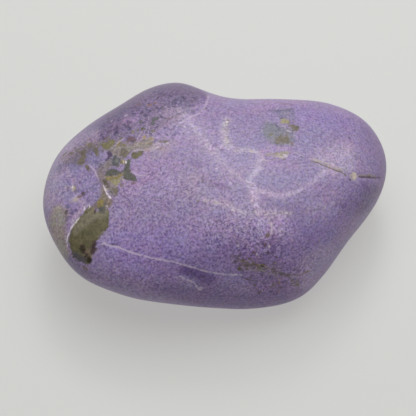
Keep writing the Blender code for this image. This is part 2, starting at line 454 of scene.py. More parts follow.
FRONT_SPOTS = [
    # The olive patch and its upper end.
    Spot(DARK_BROWN, 1.0, 3.2, (82.6, 249), 1.4, 70),
    Spot(DARK_BROWN, 1.0, 2.8, (89, 259.8), 1.4, 60),
    Spot(UMBER, 0.7, 1.8, (85.4, 253.6), 1.4, 45),
    Spot(DARK_BROWN, 0.6, 1.4, (93.6, 247), 2.4, 95),
    Spot(BROWN, 0.8, 1.6, (80.6, 243.4), 1.3, 20),
    Spot(OCHRE, 0.9, 1.1, (92.6, 210.6), 3.6, 105),
    Spot(UMBER, 0.9, 1.2, (95, 211.6), 2.6, 110),
    # Painted glints: the two white streaks at the patch's upper end.
    Spot(WHITE_VEIN_AND_GLINT, 0.8, 0.9, (84.4, 208.6), 3.6, 84),
    Spot(WHITE_VEIN_AND_GLINT, 0.7, 0.9, (89.6, 206.6), 3.0, 80),
    Spot(SLATE, 0.9, 1.1, (104.6, 204.2), 1.8, 110),
    Spot(WHITE_VEIN_AND_GLINT, 0.5, 1.0, (106.8, 206)),
    Spot(DARK_GREEN, 0.8, 1.2, (103.4, 212.6), 1.8, 20),
    Spot(BROWN, 0.8, 1.6, (85, 268), 2.6, 30),
    # The cream and white streaks below the leaf. The first two are painted glints on a broken face, beside a
    # dark green line.
    Spot(CREAM, 0.9, 1.0, (106, 189.4), 3.4, 55),
    Spot(WHITE_VEIN_AND_GLINT, 0.9, 1.0, (109.6, 197.4), 3.6, 42),
    Spot(DARK_GREEN, 0.9, 1.0, (111.4, 192.4), 5.6, 58),
    Spot(CREAM, 0.7, 0.8, (123, 180), 3.4, 60),
    Spot(CREAM, 0.5, 0.8, (124.6, 185.6), 2.6, 92),
    # Painted highlight beside the ochre spot.
    Spot(WHITE_VEIN_AND_GLINT, 0.8, 1.1, (125.8, 162), 2.4, 72),
    Spot(BROWN, 0.8, 1.6, (121.4, 185), 1.8, 80),
    Spot(RED_BROWN, 0.7, 1.6, (133.6, 183.4), 1.8, 0),
    Spot(PALE_SLATE, 0.9, 1.9, (116.8, 160.8), 1.3, 90),
    Spot(UMBER, 0.6, 1.3, (100.6, 164.6), 1.3, 60),
    Spot(DARK_GREY, 0.6, 1.6, (102.6, 151), 1.2, 90),
    # Round the olive band.
    Spot(OCHRE, 1.0, 1.6, (118, 144.4), 1.3, 120),
    Spot(GOLD, 0.6, 1.3, (87.4, 144.4), 1.4, 20),
    Spot(RED_BROWN, 0.6, 1.6, (90, 139.6), 1.2, 30),
    Spot(RED_BROWN, 0.5, 1.7, (66.4, 162), 1.3, 20),
    Spot(OLIVE_BROWN, 0.8, 1.8, (64.6, 154), 1.6, 150),
    Spot(OLIVE_BROWN, 0.7, 1.6, (78.4, 163), 1.6, 40),
    Spot(UMBER, 0.6, 1.5, (75, 148), 1.5, 90),
    Spot(DARK_GREY, 0.7, 1.8, (133, 141.4), 1.6, 20),
    Spot(OLIVE_BROWN, 0.9, 1.6, (120.4, 138.6), 1.6, 110),
    Spot(OLIVE_BROWN, 0.7, 1.5, (120.6, 145), 1.6, 100),
    Spot(OCHRE, 0.6, 1.5, (133, 132), 1.5, 150),
    Spot(GOLD, 1.0, 1.6, (144.2, 137), 1.6, 75),
    Spot(GOLD, 0.9, 1.5, (151.4, 138.4), 1.8, 20),
    Spot(OLIVE_BROWN, 0.7, 1.5, (161.4, 141.4), 2.4, 10),
    Spot(BROWN, 0.7, 1.8, (150.6, 143.4), 1.4, 140),
    Spot(PINK_VEIN, 0.7, 1.2, (156.6, 147.4), 2.4, 150),
    Spot(PINK_VEIN, 0.6, 1.0, (167.4, 143), 1.6, 160),
    Spot(PEACH, 0.7, 1.6, (146.6, 149.6), 1.8, 170),
    # The dark end above it.
    Spot(DARK_OLIVE, 1.0, 2.0, (142.8, 129), 1.4, 160),
    Spot(OLIVE_BROWN, 0.9, 1.8, (152.8, 131), 1.5, 30),
    Spot(DEEP_BLUE, 0.8, 2.2, (145.8, 115.4), 1.3, 60),
    Spot(DARK_PURPLE, 0.8, 1.8, (141.6, 112.4), 1.9, 100),
    Spot(SLATE, 0.8, 1.8, (140.8, 121.6), 1.8, 75),
    Spot(DARK_PURPLE, 0.9, 1.6, (156.8, 107.8), 1.3, 150),
    Spot(SLATE, 0.7, 1.7, (162.4, 108.6), 1.2, 30),
    Spot(ORANGE_BROWN, 0.9, 1.6, (149.4, 104.8), 1.9, 0),
    Spot(ORANGE_BROWN, 0.5, 1.8, (138.6, 104.6), 1.4, 0),
    Spot(ORANGE_BROWN, 0.6, 1.4, (155.4, 103), 1.6, 160),
    Spot(DEEP_BLUE, 0.7, 1.9, (173.4, 102), 1.4, 10),
    Spot(DEEP_BLUE, 0.5, 1.9, (166, 104.6), 1.6, 150),
    Spot(BLUE_GREY, 0.7, 2.0, (193, 111.4), 1.3, 60),
    Spot(DARK_PURPLE, 0.6, 1.2, (203, 103)),
    Spot(RED_BROWN, 0.6, 1.4, (206, 108.6), 1.3, 60),
    Spot(RED_BROWN, 0.6, 1.7, (168.6, 118.6), 1.6, 20),
    Spot(RED_BROWN, 0.5, 1.4, (172, 130), 1.9, 140),
    Spot(SLATE, 0.5, 1.5, (180, 126.6), 1.5, 10),
    Spot(WHITE_VEIN_AND_GLINT, 0.5, 1.0, (184.4, 127)),
    Spot(DEEP_BLUE, 0.7, 1.3, (166.6, 134.4), 1.9, 50),
    Spot(DEEP_BLUE, 0.6, 1.3, (183.4, 133.6), 2.4, 100),
    Spot(BLUE_GREY, 0.5, 1.8, (174.4, 134), 1.6, 160),
    Spot(DARK_PURPLE, 0.6, 1.8, (128, 126), 1.3, 60),
    Spot(DARK_PURPLE, 0.6, 1.7, (117, 130), 1.4, 30),
    Spot(RED_BROWN, 0.6, 1.8, (106, 138), 1.5, 95),
    Spot(RED_BROWN, 0.4, 1.8, (109.4, 132.6), 1.8, 0),
    Spot(PALE_LILAC, 0.7, 1.8, (126, 115.6), 1.5, 80),
    Spot(BLUE_GREY, 0.7, 2.0, (133.4, 114), 1.2, 0),
    Spot(PALE_LILAC, 0.6, 1.2, (111.6, 121), 1.9, 100),
    Spot(BLUE_GREY, 0.5, 1.8, (109, 119), 1.4, 120),
    Spot(DARK_PURPLE, 0.5, 1.5, (134, 107.4), 1.6, 150),
    Spot(BLUE_GREY, 0.6, 1.6, (150.4, 98), 1.4, 60),
    Spot(DARK_PURPLE, 0.5, 1.5, (160.4, 93.4), 2.0, 0),
    Spot(DARK_PURPLE, 0.4, 1.7, (182.4, 95.6), 1.6, 60),
    Spot(RED_BROWN, 0.4, 1.6, (192, 92.4), 1.6, 150),
    # The left end.
    Spot(CREAM, 0.9, 2.4, (73.4, 188.2), 1.3, 80),
    Spot(WHITE_VEIN_AND_GLINT, 0.8, 1.0, (72.4, 187), 1.5, 80),
    Spot(CREAM, 0.6, 1.2, (66, 187.4), 1.4, 80),
    Spot(OLIVE_BROWN, 0.7, 1.4, (75.4, 191.4), 1.5, 50),
    Spot(GOLD, 0.6, 1.1, (75.2, 187.6), 1.6, 60),
    Spot(RED_BROWN, 0.5, 1.2, (68, 188.4), 1.8, 90),
    Spot(UMBER, 0.9, 2.2, (83.2, 193.8), 1.2, 20),
    Spot(ORANGE_BROWN, 0.9, 1.3, (79.6, 196.6), 2.8, 172),
    Spot(CREAM, 0.8, 2.2, (75.6, 199.6), 1.7, 150),
    Spot(UMBER, 0.5, 1.0, (79.6, 183.4), 1.4, 60),
    Spot(DEEP_BLUE, 0.6, 2.0, (96, 162), 1.3, 30),
    Spot(DEEP_BLUE, 0.8, 1.3, (106.4, 160), 1.3, 120),
    Spot(DEEP_BLUE, 0.7, 1.8, (76, 210.4), 1.3, 40),
    Spot(BLUE_GREY, 0.8, 1.8, (72, 213), 1.3, 60),
    Spot(BLUE_GREY, 0.6, 2.2, (68, 206), 1.4, 60),
    Spot(UMBER, 0.8, 1.9, (66.2, 212.4), 1.3, 100),
    Spot(DARK_PURPLE, 0.45, 2.2, (66.8, 218), 1.8, 95),
    Spot(BLUE_GREY, 0.5, 1.8, (90.6, 189)),
    Spot(BLUE_GREY, 0.5, 1.6, (97, 184), 1.5, 90),
    Spot(PALE_PINK, 0.5, 1.4, (81.6, 168.6), 2.0, 10),
    # The upper face.
    Spot(WHITE_VEIN_AND_GLINT, 0.7, 1.2, (227, 122), 1.3, 60),
    Spot(UMBER, 0.6, 0.9, (228.4, 120.2), 1.4, 150),
    Spot(PALE_LILAC, 0.8, 1.6, (224.6, 134.4), 1.3, 120),
    Spot(SLATE, 0.5, 1.4, (228, 137), 1.3, 60),
    Spot(SLATE, 0.4, 1.6, (226, 130), 1.3, 60),
    Spot(CREAM, 0.9, 1.4, (251.8, 151.6), 1.8, 20),
    Spot(VIVID_PURPLE, 0.6, 1.8, (216, 145), 1.5, 10),
    Spot(VIVID_PURPLE, 0.7, 1.5, (222, 150), 2.2, 0),
    Spot(BLUE_GREY, 0.5, 1.6, (234.6, 161)),
    Spot(WHITE_VEIN_AND_GLINT, 0.5, 1.0, (216.4, 168.6)),
    Spot(PALE_LILAC, 0.8, 2.4, (259.6, 168), 1.3, 60),
    Spot(PALE_LILAC, 0.7, 2.2, (256.4, 173.6), 1.3, 120),
    Spot(DARK_GREY, 0.5, 1.4, (202.4, 181), 1.8, 100),
    Spot(DARK_GREY, 0.5, 1.2, (202, 177.6), 1.4, 100),
    Spot(WHITE_VEIN_AND_GLINT, 0.4, 1.2, (230.4, 183), 1.4, 60),
    Spot(SLATE, 0.5, 1.4, (230, 188), 1.6, 60),
    Spot(BROWN, 0.7, 1.2, (198.4, 201.2), 1.6, 20),
    Spot(UMBER, 0.4, 1.2, (205, 203), 1.6, 20),
    Spot(DEEP_BLUE, 0.5, 1.6, (279, 128), 1.3, 130),
    Spot(DEEP_BLUE, 0.6, 1.1, (276.6, 125.6), 2.8, 50),
    Spot(PINK_VEIN, 0.5, 1.1, (288.6, 131), 3.4, 35),
    Spot(OLIVE, 0.6, 1.4, (285.6, 138.6), 1.4, 30),
    Spot(GREEN_OLIVE, 0.8, 1.6, (271, 134.4), 1.6, 150),
    Spot(ORANGE_BROWN, 0.8, 1.2, (291.6, 143), 1.6, 60),
    Spot(DARK_OLIVE, 0.6, 1.2, (292.6, 145), 1.3, 0),
    Spot(DARK_OLIVE, 0.7, 1.2, (281, 118.4), 2.4, 150),
    Spot(DEEP_BLUE, 0.6, 1.3, (292, 113.6)),
    Spot(DARK_OLIVE, 0.7, 1.3, (297.8, 127.4), 1.4, 80),
    Spot(PALE_LILAC, 0.6, 1.4, (261.8, 109), 1.6, 70),
    Spot(PINK_VEIN, 0.8, 1.8, (285.6, 156), 1.5, 70),
    Spot(CREAM, 0.7, 1.5, (281.6, 157.2), 1.8, 10),
    Spot(SLATE, 0.6, 1.1, (284, 159.4), 1.8, 0),
    Spot(SLATE, 0.6, 1.4, (302, 157.4), 1.3, 60),
    Spot(DEEP_BLUE, 0.7, 1.2, (341, 121), 1.4, 90),
    Spot(SLATE, 0.8, 1.2, (349.6, 137.6), 1.5, 60),
    Spot(RED_BROWN, 0.5, 1.2, (353, 119.6), 1.4, 40),
    Spot(DEEP_BLUE, 0.5, 1.3, (355.4, 157), 1.9, 60),
    Spot(DEEP_BLUE, 0.5, 1.3, (381, 163), 1.9, 80),
    Spot(SLATE, 0.8, 1.2, (345, 174.6), 1.8, 60),
    Spot(UMBER, 0.7, 1.1, (349.8, 179.6), 1.8, 20),
    Spot(UMBER, 0.9, 1.4, (369.6, 177), 2.2, 10),
    Spot(LEAF_OLIVE, 0.7, 1.0, (369.6, 174), 1.8, 10),
    Spot(UMBER, 0.8, 1.0, (362.6, 177), 2.4, 0),
    Spot(PALE_LILAC, 0.4, 1.6, (328, 147.6), 1.4, 60),
    # The front.
    # Painted highlights: two white glints on the pale band along the edge to the front.
    Spot(WHITE_VEIN_AND_GLINT, 0.6, 0.9, (233, 210.2), 2.8, 28),
    Spot(WHITE_VEIN_AND_GLINT, 0.6, 0.9, (286, 213), 2.6, 170),
    Spot(PINK_VEIN, 0.5, 0.9, (278, 214.4), 2.4, 10),
    Spot(CREAM, 0.7, 1.0, (216.4, 203.4), 1.8, 20),
    Spot(BROWN, 0.9, 1.8, (268, 235.4), 1.5, 110),
    Spot(RED_BROWN, 0.9, 1.5, (265.4, 245), 1.8, 100),
    Spot(UMBER, 0.9, 1.3, (268.4, 252.4), 2.2, 70),
    # Painted glints: the white and pale specks that follow, up to the dark grey one, round the crack below
    # the front edge.
    Spot(WHITE_VEIN_AND_GLINT, 0.8, 1.0, (269.2, 246.4), 2.4, 95),
    Spot(PALE_LILAC, 0.6, 1.2, (264.6, 251), 1.5, 100),
    Spot(WHITE_VEIN_AND_GLINT, 0.6, 1.0, (256.8, 254.4), 2.2, 80),
    Spot(WHITE_VEIN_AND_GLINT, 0.6, 1.0, (238, 245.6), 1.8, 90),
    Spot(DARK_GREY, 0.6, 1.1, (237.4, 243.2), 1.5, 90),
    Spot(PINK_VEIN, 0.6, 1.8, (201, 287.8), 1.6, 30),
    Spot(DARK_PURPLE, 0.8, 1.6, (113, 244.8), 1.3, 0),
    Spot(DARK_GREY, 0.5, 1.2, (129.6, 203), 1.5, 60),
    Spot(DARK_PURPLE, 0.5, 1.6, (104, 246.6), 1.4, 30),
    Spot(DARK_BROWN, 1.0, 2.0, (263, 265.4), 1.3, 60),
    Spot(DARK_OLIVE, 1.0, 2.0, (239.6, 269), 1.6, 95),
    Spot(DARK_OLIVE, 0.8, 1.8, (243, 260.6), 1.3, 30),
    Spot(DARK_OLIVE, 0.8, 1.7, (247, 265.6), 1.8, 10),
    Spot(UMBER, 0.8, 1.7, (256, 265), 1.8, 20),
    Spot(DARK_OLIVE, 0.8, 1.6, (255, 285), 1.8, 70),
    Spot(UMBER, 0.8, 1.6, (259.4, 292.6), 2.0, 55),
    Spot(PINK_LILAC, 0.5, 1.4, (260.4, 289.4), 1.8, 50),
    Spot(ORANGE_BROWN, 1.0, 1.3, (279.6, 282.6), 2.4, 75),
    Spot(GOLD, 0.6, 0.9, (278.6, 279.6), 1.8, 60),
    Spot(UMBER, 0.6, 1.4, (281, 287.6), 1.4, 70),
    Spot(ORANGE_BROWN, 0.7, 1.4, (278, 291.4), 1.6, 30),
    Spot(CREAM, 0.5, 0.9, (262, 290.6), 1.6, 60),
    # Painted glints, in rose, round the same crack.
    Spot(ROSE_LILAC, 0.6, 1.0, (270.6, 285), 1.8, 100),
    Spot(ROSE_LILAC, 0.6, 1.0, (288.4, 259), 2.2, 60),
    Spot(ROSE_LILAC, 0.6, 1.0, (247.6, 246), 1.8, 95),
    Spot(UMBER, 0.7, 1.5, (276, 257), 1.6, 40),
    Spot(UMBER, 0.6, 1.6, (274, 263), 1.8, 110),
    Spot(DARK_OLIVE, 0.7, 1.7, (273, 269), 1.6, 10),
    Spot(DARK_OLIVE, 0.7, 1.8, (281.6, 274), 1.6, 30),
    Spot(UMBER, 0.5, 2.0, (288, 275.6), 1.6, 0),
    Spot(OLIVE_BROWN, 0.7, 1.5, (297.4, 281), 1.6, 60),
    Spot(OLIVE_BROWN, 0.5, 1.5, (296, 285), 1.4, 30),
    Spot(DEEP_BLUE, 0.6, 2.2, (271, 277), 1.5, 60),
    Spot(UMBER, 0.5, 1.7, (261.4, 275.4), 1.8, 80),
    Spot(UMBER, 0.5, 1.6, (251.6, 276), 1.5, 60),
    Spot(UMBER, 0.7, 1.4, (247, 279), 1.8, 30),
    Spot(PALE_LILAC, 0.5, 1.4, (250.6, 262.4), 1.3, 60),
    Spot(PALE_SLATE, 0.6, 1.5, (262.6, 268.6), 1.8, 0),
    Spot(DARK_GREY, 0.6, 1.6, (238.6, 256), 1.8, 150),
    Spot(OLIVE_BROWN, 0.5, 1.6, (232, 256.6), 1.5, 40),
    Spot(OCHRE, 0.8, 1.1, (307, 271.4), 2.2, 160),
    Spot(GOLD, 0.5, 1.0, (319.4, 240.6), 1.3, 60),
    Spot(PALE_LILAC, 0.5, 1.8, (283.6, 231.6), 1.5, 60),
    Spot(PALE_LILAC, 0.5, 1.6, (279.4, 229), 1.4, 60),
]

FRONT_VEINS = [
    Vein(WHITE_VEIN_AND_GLINT, 0.8, 1.8, [(80, 217), (75, 223), (71, 228.5), (68.4, 234.5), (67.2, 239), (67.4, 247)]),
    Vein(PINK_VEIN, 0.6, 1.4, [(89, 164.5), (92.6, 168), (95.6, 173), (98, 178)]),
    Vein(
        PINK_VEIN, 0.45, 1.4,
        [(130.6, 151.4), (139, 149.9), (145, 150.4), (152, 148), (157, 143.6), (162, 144)],
    ),
    Vein(PINK_VEIN, 0.45, 1.4, [(132.4, 170), (135, 173.4), (139, 175.2), (148, 175.6)]),
    Vein(PINK_VEIN, 0.5, 1.3, [(111, 148.6), (115, 145.6), (119, 141.6), (124, 138.6)]),
    Vein(PINK_VEIN, 0.25, 1.3, [(137.6, 150), (137, 144), (138.4, 137), (143, 130), (148, 122), (149, 114)]),
    Vein(PINK_VEIN, 0.25, 1.3, [(148.6, 140), (148.4, 132), (150, 126)]),
    Vein(
        PINK_VEIN, 0.75, 1.7,
        [
            (98, 246), (104, 243.6), (110, 246), (118, 247), (125, 250), (135, 253.5), (148, 257),
            (160, 259.7), (173, 262), (183, 264.5), (191.5, 267), (200, 269.7), (208, 271.8), (223, 274.2),
            (233, 274.7), (242, 274.7),
        ],
    ),
    Vein(
        PINK_VEIN, 0.75, 2.0,
        [(175, 278), (180, 276.6), (186, 279.5), (191.5, 281.6), (195.5, 285), (199, 289.4), (203, 290)],
    ),
    # Painted glint: the white line on the broken face below the leaf.
    Vein(WHITE_VEIN_AND_GLINT, 0.8, 1.3, [(103.2, 185.4), (105.2, 190), (107.8, 194.6), (111.8, 198.8)]),
    Vein(PINK_VEIN, 0.3, 1.6, [(178, 281), (186, 284), (192, 288)]),
    Vein(
        PINK_VEIN, 0.4, 2.0,
        [(207.6, 93), (208, 99), (204, 108), (198, 114), (190, 117), (183, 121.5), (178, 124)],
    ),
    Vein(PINK_VEIN, 0.35, 1.6, [(240, 149.4), (246, 150.6), (253, 152.4), (262, 153)]),
    Vein(CREAM, 0.45, 1.4, [(273, 155.4), (280, 156.8), (288, 157)]),
    Vein(CREAM, 0.7, 1.5, [(309, 158.2), (317, 160), (326, 162.6), (330, 165), (338, 168.4), (344, 170)]),
    Vein(
        OLIVE_BROWN, 0.9, 1.5,
        [(309, 160.6), (318, 162.8), (325, 165.8), (334, 169.6), (342, 172.4), (348, 176)],
    ),
    Vein(PINK_VEIN, 0.35, 1.2, [(292, 150), (298, 154), (306, 157.4)]),
    Vein(LEAF_OLIVE, 0.5, 1.2, [(357, 174.4), (364, 175), (371, 175), (377, 176.6)]),
    Vein(UMBER, 0.75, 1.8, [(358, 176.6), (366, 177.2), (375, 177.8), (381, 177.4)]),
    Vein(WHITE_VEIN_AND_GLINT, 0.55, 1.4, [(271.6, 222), (271.6, 229), (272, 235)]),
    Vein(PINK_VEIN, 0.9, 1.9, [(221, 274), (228, 274.5), (236, 274.7), (243, 274.7)]),
    Vein(DARK_OLIVE, 0.5, 2.0, [(237, 270), (240, 266), (246, 265.4), (250, 266)]),
    Vein(DARK_OLIVE, 0.65, 2.2, [(272, 271), (278, 272), (285, 274.4), (291, 274)]),
    Vein(GOLD, 0.6, 1.3, [(239, 258), (243, 261.4), (247, 262)]),
    Vein(GOLD, 0.55, 1.4, [(254, 265.6), (262, 264.6), (268, 267.6), (273, 265), (277.6, 261)]),
    Vein(TAN_GREY, 0.5, 1.3, [(250, 271), (258, 270), (265, 271.6), (272, 274.6), (278, 278)]),
    Vein(BROWN, 0.75, 1.5, [(289, 274), (295, 275), (300, 274.6), (305, 272.8), (311, 270.2)]),
    Vein(OLIVE_BROWN, 0.6, 1.4, [(287, 275), (291, 278.6), (295, 283), (299, 287.6)]),
    Vein(DARK_OLIVE, 0.5, 1.6, [(232, 253.6), (237, 258), (243, 261), (247, 264.6)]),
    Vein(UMBER, 0.4, 1.4, [(240, 276), (247, 279.4), (252, 284), (257, 290), (261, 297)]),
    Vein(PINK_LILAC, 0.4, 1.4, [(276, 263), (270, 268), (268, 276), (270, 284), (268, 288)]),
    Vein(PALE_PINK, 0.4, 1.1, [(97, 241), (102, 239.4), (108, 240)]),
    Vein(PALE_PINK, 0.4, 1.1, [(96.6, 236.6), (103, 235), (109, 236.4)]),
    Vein(PALE_PINK, 0.4, 1.1, [(101, 232.4), (106, 231.6), (111, 233)]),
    Vein(PALE_PINK, 0.4, 1.2, [(57, 216), (57, 228), (59, 240), (63, 252)]),
    Vein(GREY_LILAC, 0.3, 1.4, [(63, 216), (64, 228), (64, 240)]),
]

FRONT_FLECKS = [
    Haze(DARK_OLIVE, 0.7, 6, [(236, 260), (240, 268), (245, 268)]),
    Haze(OLIVE_BROWN, 1.0, 7, [(242, 262), (252, 266), (264, 269)]),
    Haze(OLIVE_BROWN, 0.85, 6, [(264, 269), (276, 273), (288, 277), (298, 284)]),
    Haze(OLIVE_BROWN, 0.7, 8, [(250, 280), (270, 284), (292, 284)]),
    Haze(RED_BROWN, 0.7, 7, [(240, 250), (256, 254), (276, 256)]),
    Haze(RED_BROWN, 0.6, 5, [(267, 236), (266, 246), (268, 256)]),
    Haze(OLIVE_BROWN, 0.9, 5, [(64, 156), (76, 151), (92, 148)]),
    Haze(GREEN_OLIVE, 1.0, 6, [(94, 146), (106, 141), (118, 142), (132, 146)]),
    Haze(OLIVE_BROWN, 0.7, 5, [(120, 134), (136, 134), (152, 136), (164, 141)]),
    Haze(TAN_GREY, 0.8, 5, [(56, 208), (58, 224), (62, 240)]),
    Haze(OLIVE_BROWN, 0.7, 4, [(104, 164), (118, 166), (126, 160)]),
    Haze(OLIVE_BROWN, 0.5, 6, [(268, 130), (282, 132), (292, 136)]),
    Haze(RED_BROWN, 0.5, 8, [(136, 108), (150, 104), (160, 104)]),
]

FRONT_MOTTLES = [
    Area(
        1.0, 6,
        [
            (78, 152), (108, 124), (134, 106), (156, 94), (190, 92), (198, 106), (176, 112), (166, 134),
            (136, 142), (96, 146),
        ],
    ),
    Area(0.45, 5, [(166, 112), (192, 112), (196, 136), (180, 142), (164, 138)]),
    Area(0.6, 6, [(60, 176), (80, 168), (96, 178), (98, 200), (76, 212), (62, 204)]),
    Area(0.5, 6, [(64, 206), (80, 206), (78, 216), (68, 224)]),
    Area(0.65, 7, [(238, 250), (264, 240), (288, 248), (304, 274), (284, 294), (250, 290)]),
]

# How strongly the felt of fibres shows: PLAIN_FELT in most places, and up to 1 in the areas.
PLAIN_FELT = 0.6
FRONT_FELTS = [
    Area(
        0.8, 12,
        [(110, 190), (150, 160), (220, 180), (290, 210), (320, 260), (290, 300), (180, 300), (100, 270)],
    ),
    Area(1.0, 10, [(200, 216), (262, 214), (290, 236), (270, 262), (210, 262)]),
]

FRONT_GROOVES = [
    Groove(0.08, 1.6, [(308, 158.5), (317, 161.5), (325, 165.2), (334, 169), (343, 172), (349, 175)]),
    Groove(0.08, 1.6, [(358, 176.5), (366, 177.2), (377, 177.5)]),
    Groove(0.07, 3.0, [(81, 247), (82, 250)]),
    Groove(0.07, 2.4, [(88, 258), (89.5, 261)]),
]

# The back and the underside, which the picture doesn't show, in tenths of a millimetre from the middle.
BACK_ZONES = [
    Zone(
        GREY_LILAC, 0.85, 22,
        [(6, -50), (40, -90), (120, -90), (172, -30), (168, 14), (130, 24), (80, 6), (40, -4), (14, -16)],
    ),
    Zone(PALE_LILAC, 0.4, 14, [(-60, -50), (0, -56), (40, -40), (30, -10), (-20, 0), (-70, -14)]),
    Zone(VIOLET, 0.6, 16, [(-160, -10), (-100, -30), (-40, 0), (0, 30), (-40, 60), (-120, 50)]),
    Zone(BLUISH_LILAC, 0.5, 12, [(-110, -50), (-70, -56), (-60, -20), (-100, -10)]),
    Zone(BROWN_GREY, 0.6, 5, [(58, 4), (90, -8), (126, 10), (130, 48), (92, 68), (56, 54)]),
    Zone(BROWN_GREY, 0.5, 5, [(24, 16), (56, 10), (66, 26), (44, 50), (22, 44)]),
    Zone(PINK_LILAC, 0.5, 12, [(-20, 20), (30, 6), (40, 40), (0, 56)]),
    Zone(DEEP_PURPLE, 0.4, 12, [(-90, 34), (-20, 44), (40, 52), (30, 70), (-80, 66)]),
]

BACK_HAZES = [
    Haze(PALE_LILAC, 0.6, 5, [(-150, -20), (-100, -34), (-50, -20), (0, -30), (40, -14)]),
    Haze(PALE_PINK, 0.5, 6, [(-90, 30), (-40, 18), (10, 30), (40, 50)]),
    Haze(PALE_PINK, 0.6, 3, [(-46, -24), (-40, -8), (-50, 8)]),
    Haze(VIVID_PURPLE, 0.4, 4, [(-120, 20), (-104, 26), (-90, 20)]),
    Haze(BLUE_GREY, 0.4, 4, [(140, -14), (148, 4), (144, 20)]),
]

BACK_PATCHES = [
    Patch(
        OLIVE, 1.2,
        [
            (70, 14), (76, 5), (84, 9), (92, 2), (99, 9), (101, 17), (110, 20), (120, 29), (113, 34),
            (110, 43), (99, 42), (94, 49), (89, 58), (80, 52), (76, 43), (69, 40), (68, 31), (62, 25),
        ],
    ),
    Patch(LIGHT_OLIVE, 3.0, [(77, 14), (89, 9), (98, 17), (92, 28), (79, 32)]),
    Patch(DARK_GREEN, 1.4, [(97, 26), (108, 24), (112, 35), (103, 41), (96, 34)]),
    Patch(OCHRE, 1.4, [(62, 22), (67, 13), (71, 24), (65, 33)]),
    Patch(DARK_GREEN, 1.2, [(38, 18), (48, 13), (56, 20), (50, 27), (40, 25)]),
    Patch(LEAF_OLIVE, 1.4, [(46, 31), (53, 27), (57, 33), (50, 38)]),
    Patch(OLIVE_BROWN, 1.6, [(26, 38), (34, 34), (40, 40), (32, 46)]),
    Patch(SLATE, 1.2, [(130, 30), (137, 25), (142, 33), (135, 39)]),
    Patch(DARK_PURPLE, 1.4, [(128, 10), (134, 6), (138, 14), (131, 18)]),
    Patch(SMOKE, 2.0, [(-96, 12), (-84, 8), (-74, 16), (-86, 24), (-98, 19)]),
    Patch(OLIVE_BROWN, 1.6, [(-88, 15), (-82, 12), (-78, 18), (-84, 20)]),
]

BACK_SPOTS = [
    Spot(DARK_BROWN, 1.0, 2.8, (84, 46), 1.4, 60),
    Spot(DARK_BROWN, 0.9, 2.2, (102, 18), 1.5, 20),
    Spot(BROWN, 0.8, 2.0, (92, 44), 1.6, 110),
    Spot(OCHRE, 0.9, 1.5, (72, 46), 1.8, 60),
    Spot(WHITE_VEIN_AND_GLINT, 0.8, 1.0, (62, 38), 3.4, 80),
    Spot(CREAM, 0.8, 1.3, (46, 44), 1.8, 20),
    Spot(GOLD, 0.8, 1.5, (58, 12), 1.4, 140),
    Spot(UMBER, 0.8, 1.8, (34, 24), 1.4, 30),
    Spot(ORANGE_BROWN, 0.8, 1.4, (24, 32), 1.8, 70),
    Spot(OCHRE, 0.7, 1.4, (120, 24), 1.6, 40),
    Spot(DEEP_BLUE, 0.6, 2.0, (138, 2), 1.3, 60),
    Spot(BLUE_GREY, 0.6, 1.8, (124, -26), 1.4, 10),
    Spot(RED_BROWN, 0.6, 1.7, (144, -18), 1.5, 100),
    Spot(DEEP_BLUE, 0.6, 1.6, (-60, 34), 1.5, 40),
    Spot(WHITE_VEIN_AND_GLINT, 0.7, 1.3, (-28, -14), 1.4, 20),
    Spot(CREAM, 0.8, 1.6, (-100, 2), 1.3, 60),
    Spot(UMBER, 0.6, 1.4, (-132, -12), 1.6, 120),
    Spot(DARK_PURPLE, 0.6, 1.7, (-10, 16), 1.4, 70),
    Spot(PALE_LILAC, 0.7, 2.2, (-46, -22), 1.4, 60),
    Spot(GOLD, 0.6, 1.2, (-70, 46), 1.5, 20),
    Spot(SLATE, 0.6, 1.6, (4, -40), 1.5, 30),
    Spot(UMBER, 0.7, 1.5, (12, 48), 1.6, 150),
]

BACK_VEINS = [
    Vein(PINK_VEIN, 0.7, 1.8, [(-160, 16), (-120, 12), (-80, 28), (-30, 22), (10, 28), (36, 20), (62, 24)]),
    Vein(PINK_VEIN, 0.4, 1.6, [(-50, 0), (-46, 14), (-60, 34), (-44, 60)]),
    Vein(WHITE_VEIN_AND_GLINT, 0.6, 1.5, [(70, 9), (64, 16), (62, 27), (65, 37)]),
    Vein(PINK_VEIN, 0.5, 1.4, [(112, 42), (124, 46), (140, 50), (152, 58)]),
    Vein(PINK_VEIN, 0.4, 1.4, [(90, 4), (96, -8), (110, -14)]),
    Vein(DARK_OLIVE, 0.7, 2.0, [(-24, 42), (0, 36), (20, 38), (38, 24)]),
    Vein(OLIVE_BROWN, 0.6, 1.4, [(-126, -20), (-110, -26), (-96, -26)]),
    Vein(CREAM, 0.5, 1.4, [(-124, -22), (-110, -29), (-98, -29)]),
    Vein(PINK_VEIN, 0.4, 1.2, [(112, -10), (128, -16), (146, -8), (158, 6)]),
]

BACK_FLECKS = [
    Haze(OLIVE_BROWN, 0.8, 9, [(60, 2), (58, 14), (58, 36), (44, 38), (30, 42)]),
    Haze(DARK_OLIVE, 0.7, 7, [(-26, 42), (10, 38), (36, 34)]),
    Haze(OLIVE_BROWN, 0.7, 9, [(96, 2), (120, 18), (132, 26), (128, 46)]),
]

BACK_MOTTLES = [
    Area(0.9, 14, [(40, -60), (100, -60), (150, -30), (164, 10), (150, 40), (124, 20), (90, 0), (50, -6)]),
    Area(0.4, 10, [(-20, 24), (30, 16), (40, 50), (-10, 58)]),
]

BACK_FELTS = [Area(0.8, 16, [(-150, -20), (-60, -20), (30, 0), (20, 60), (-120, 60)])]

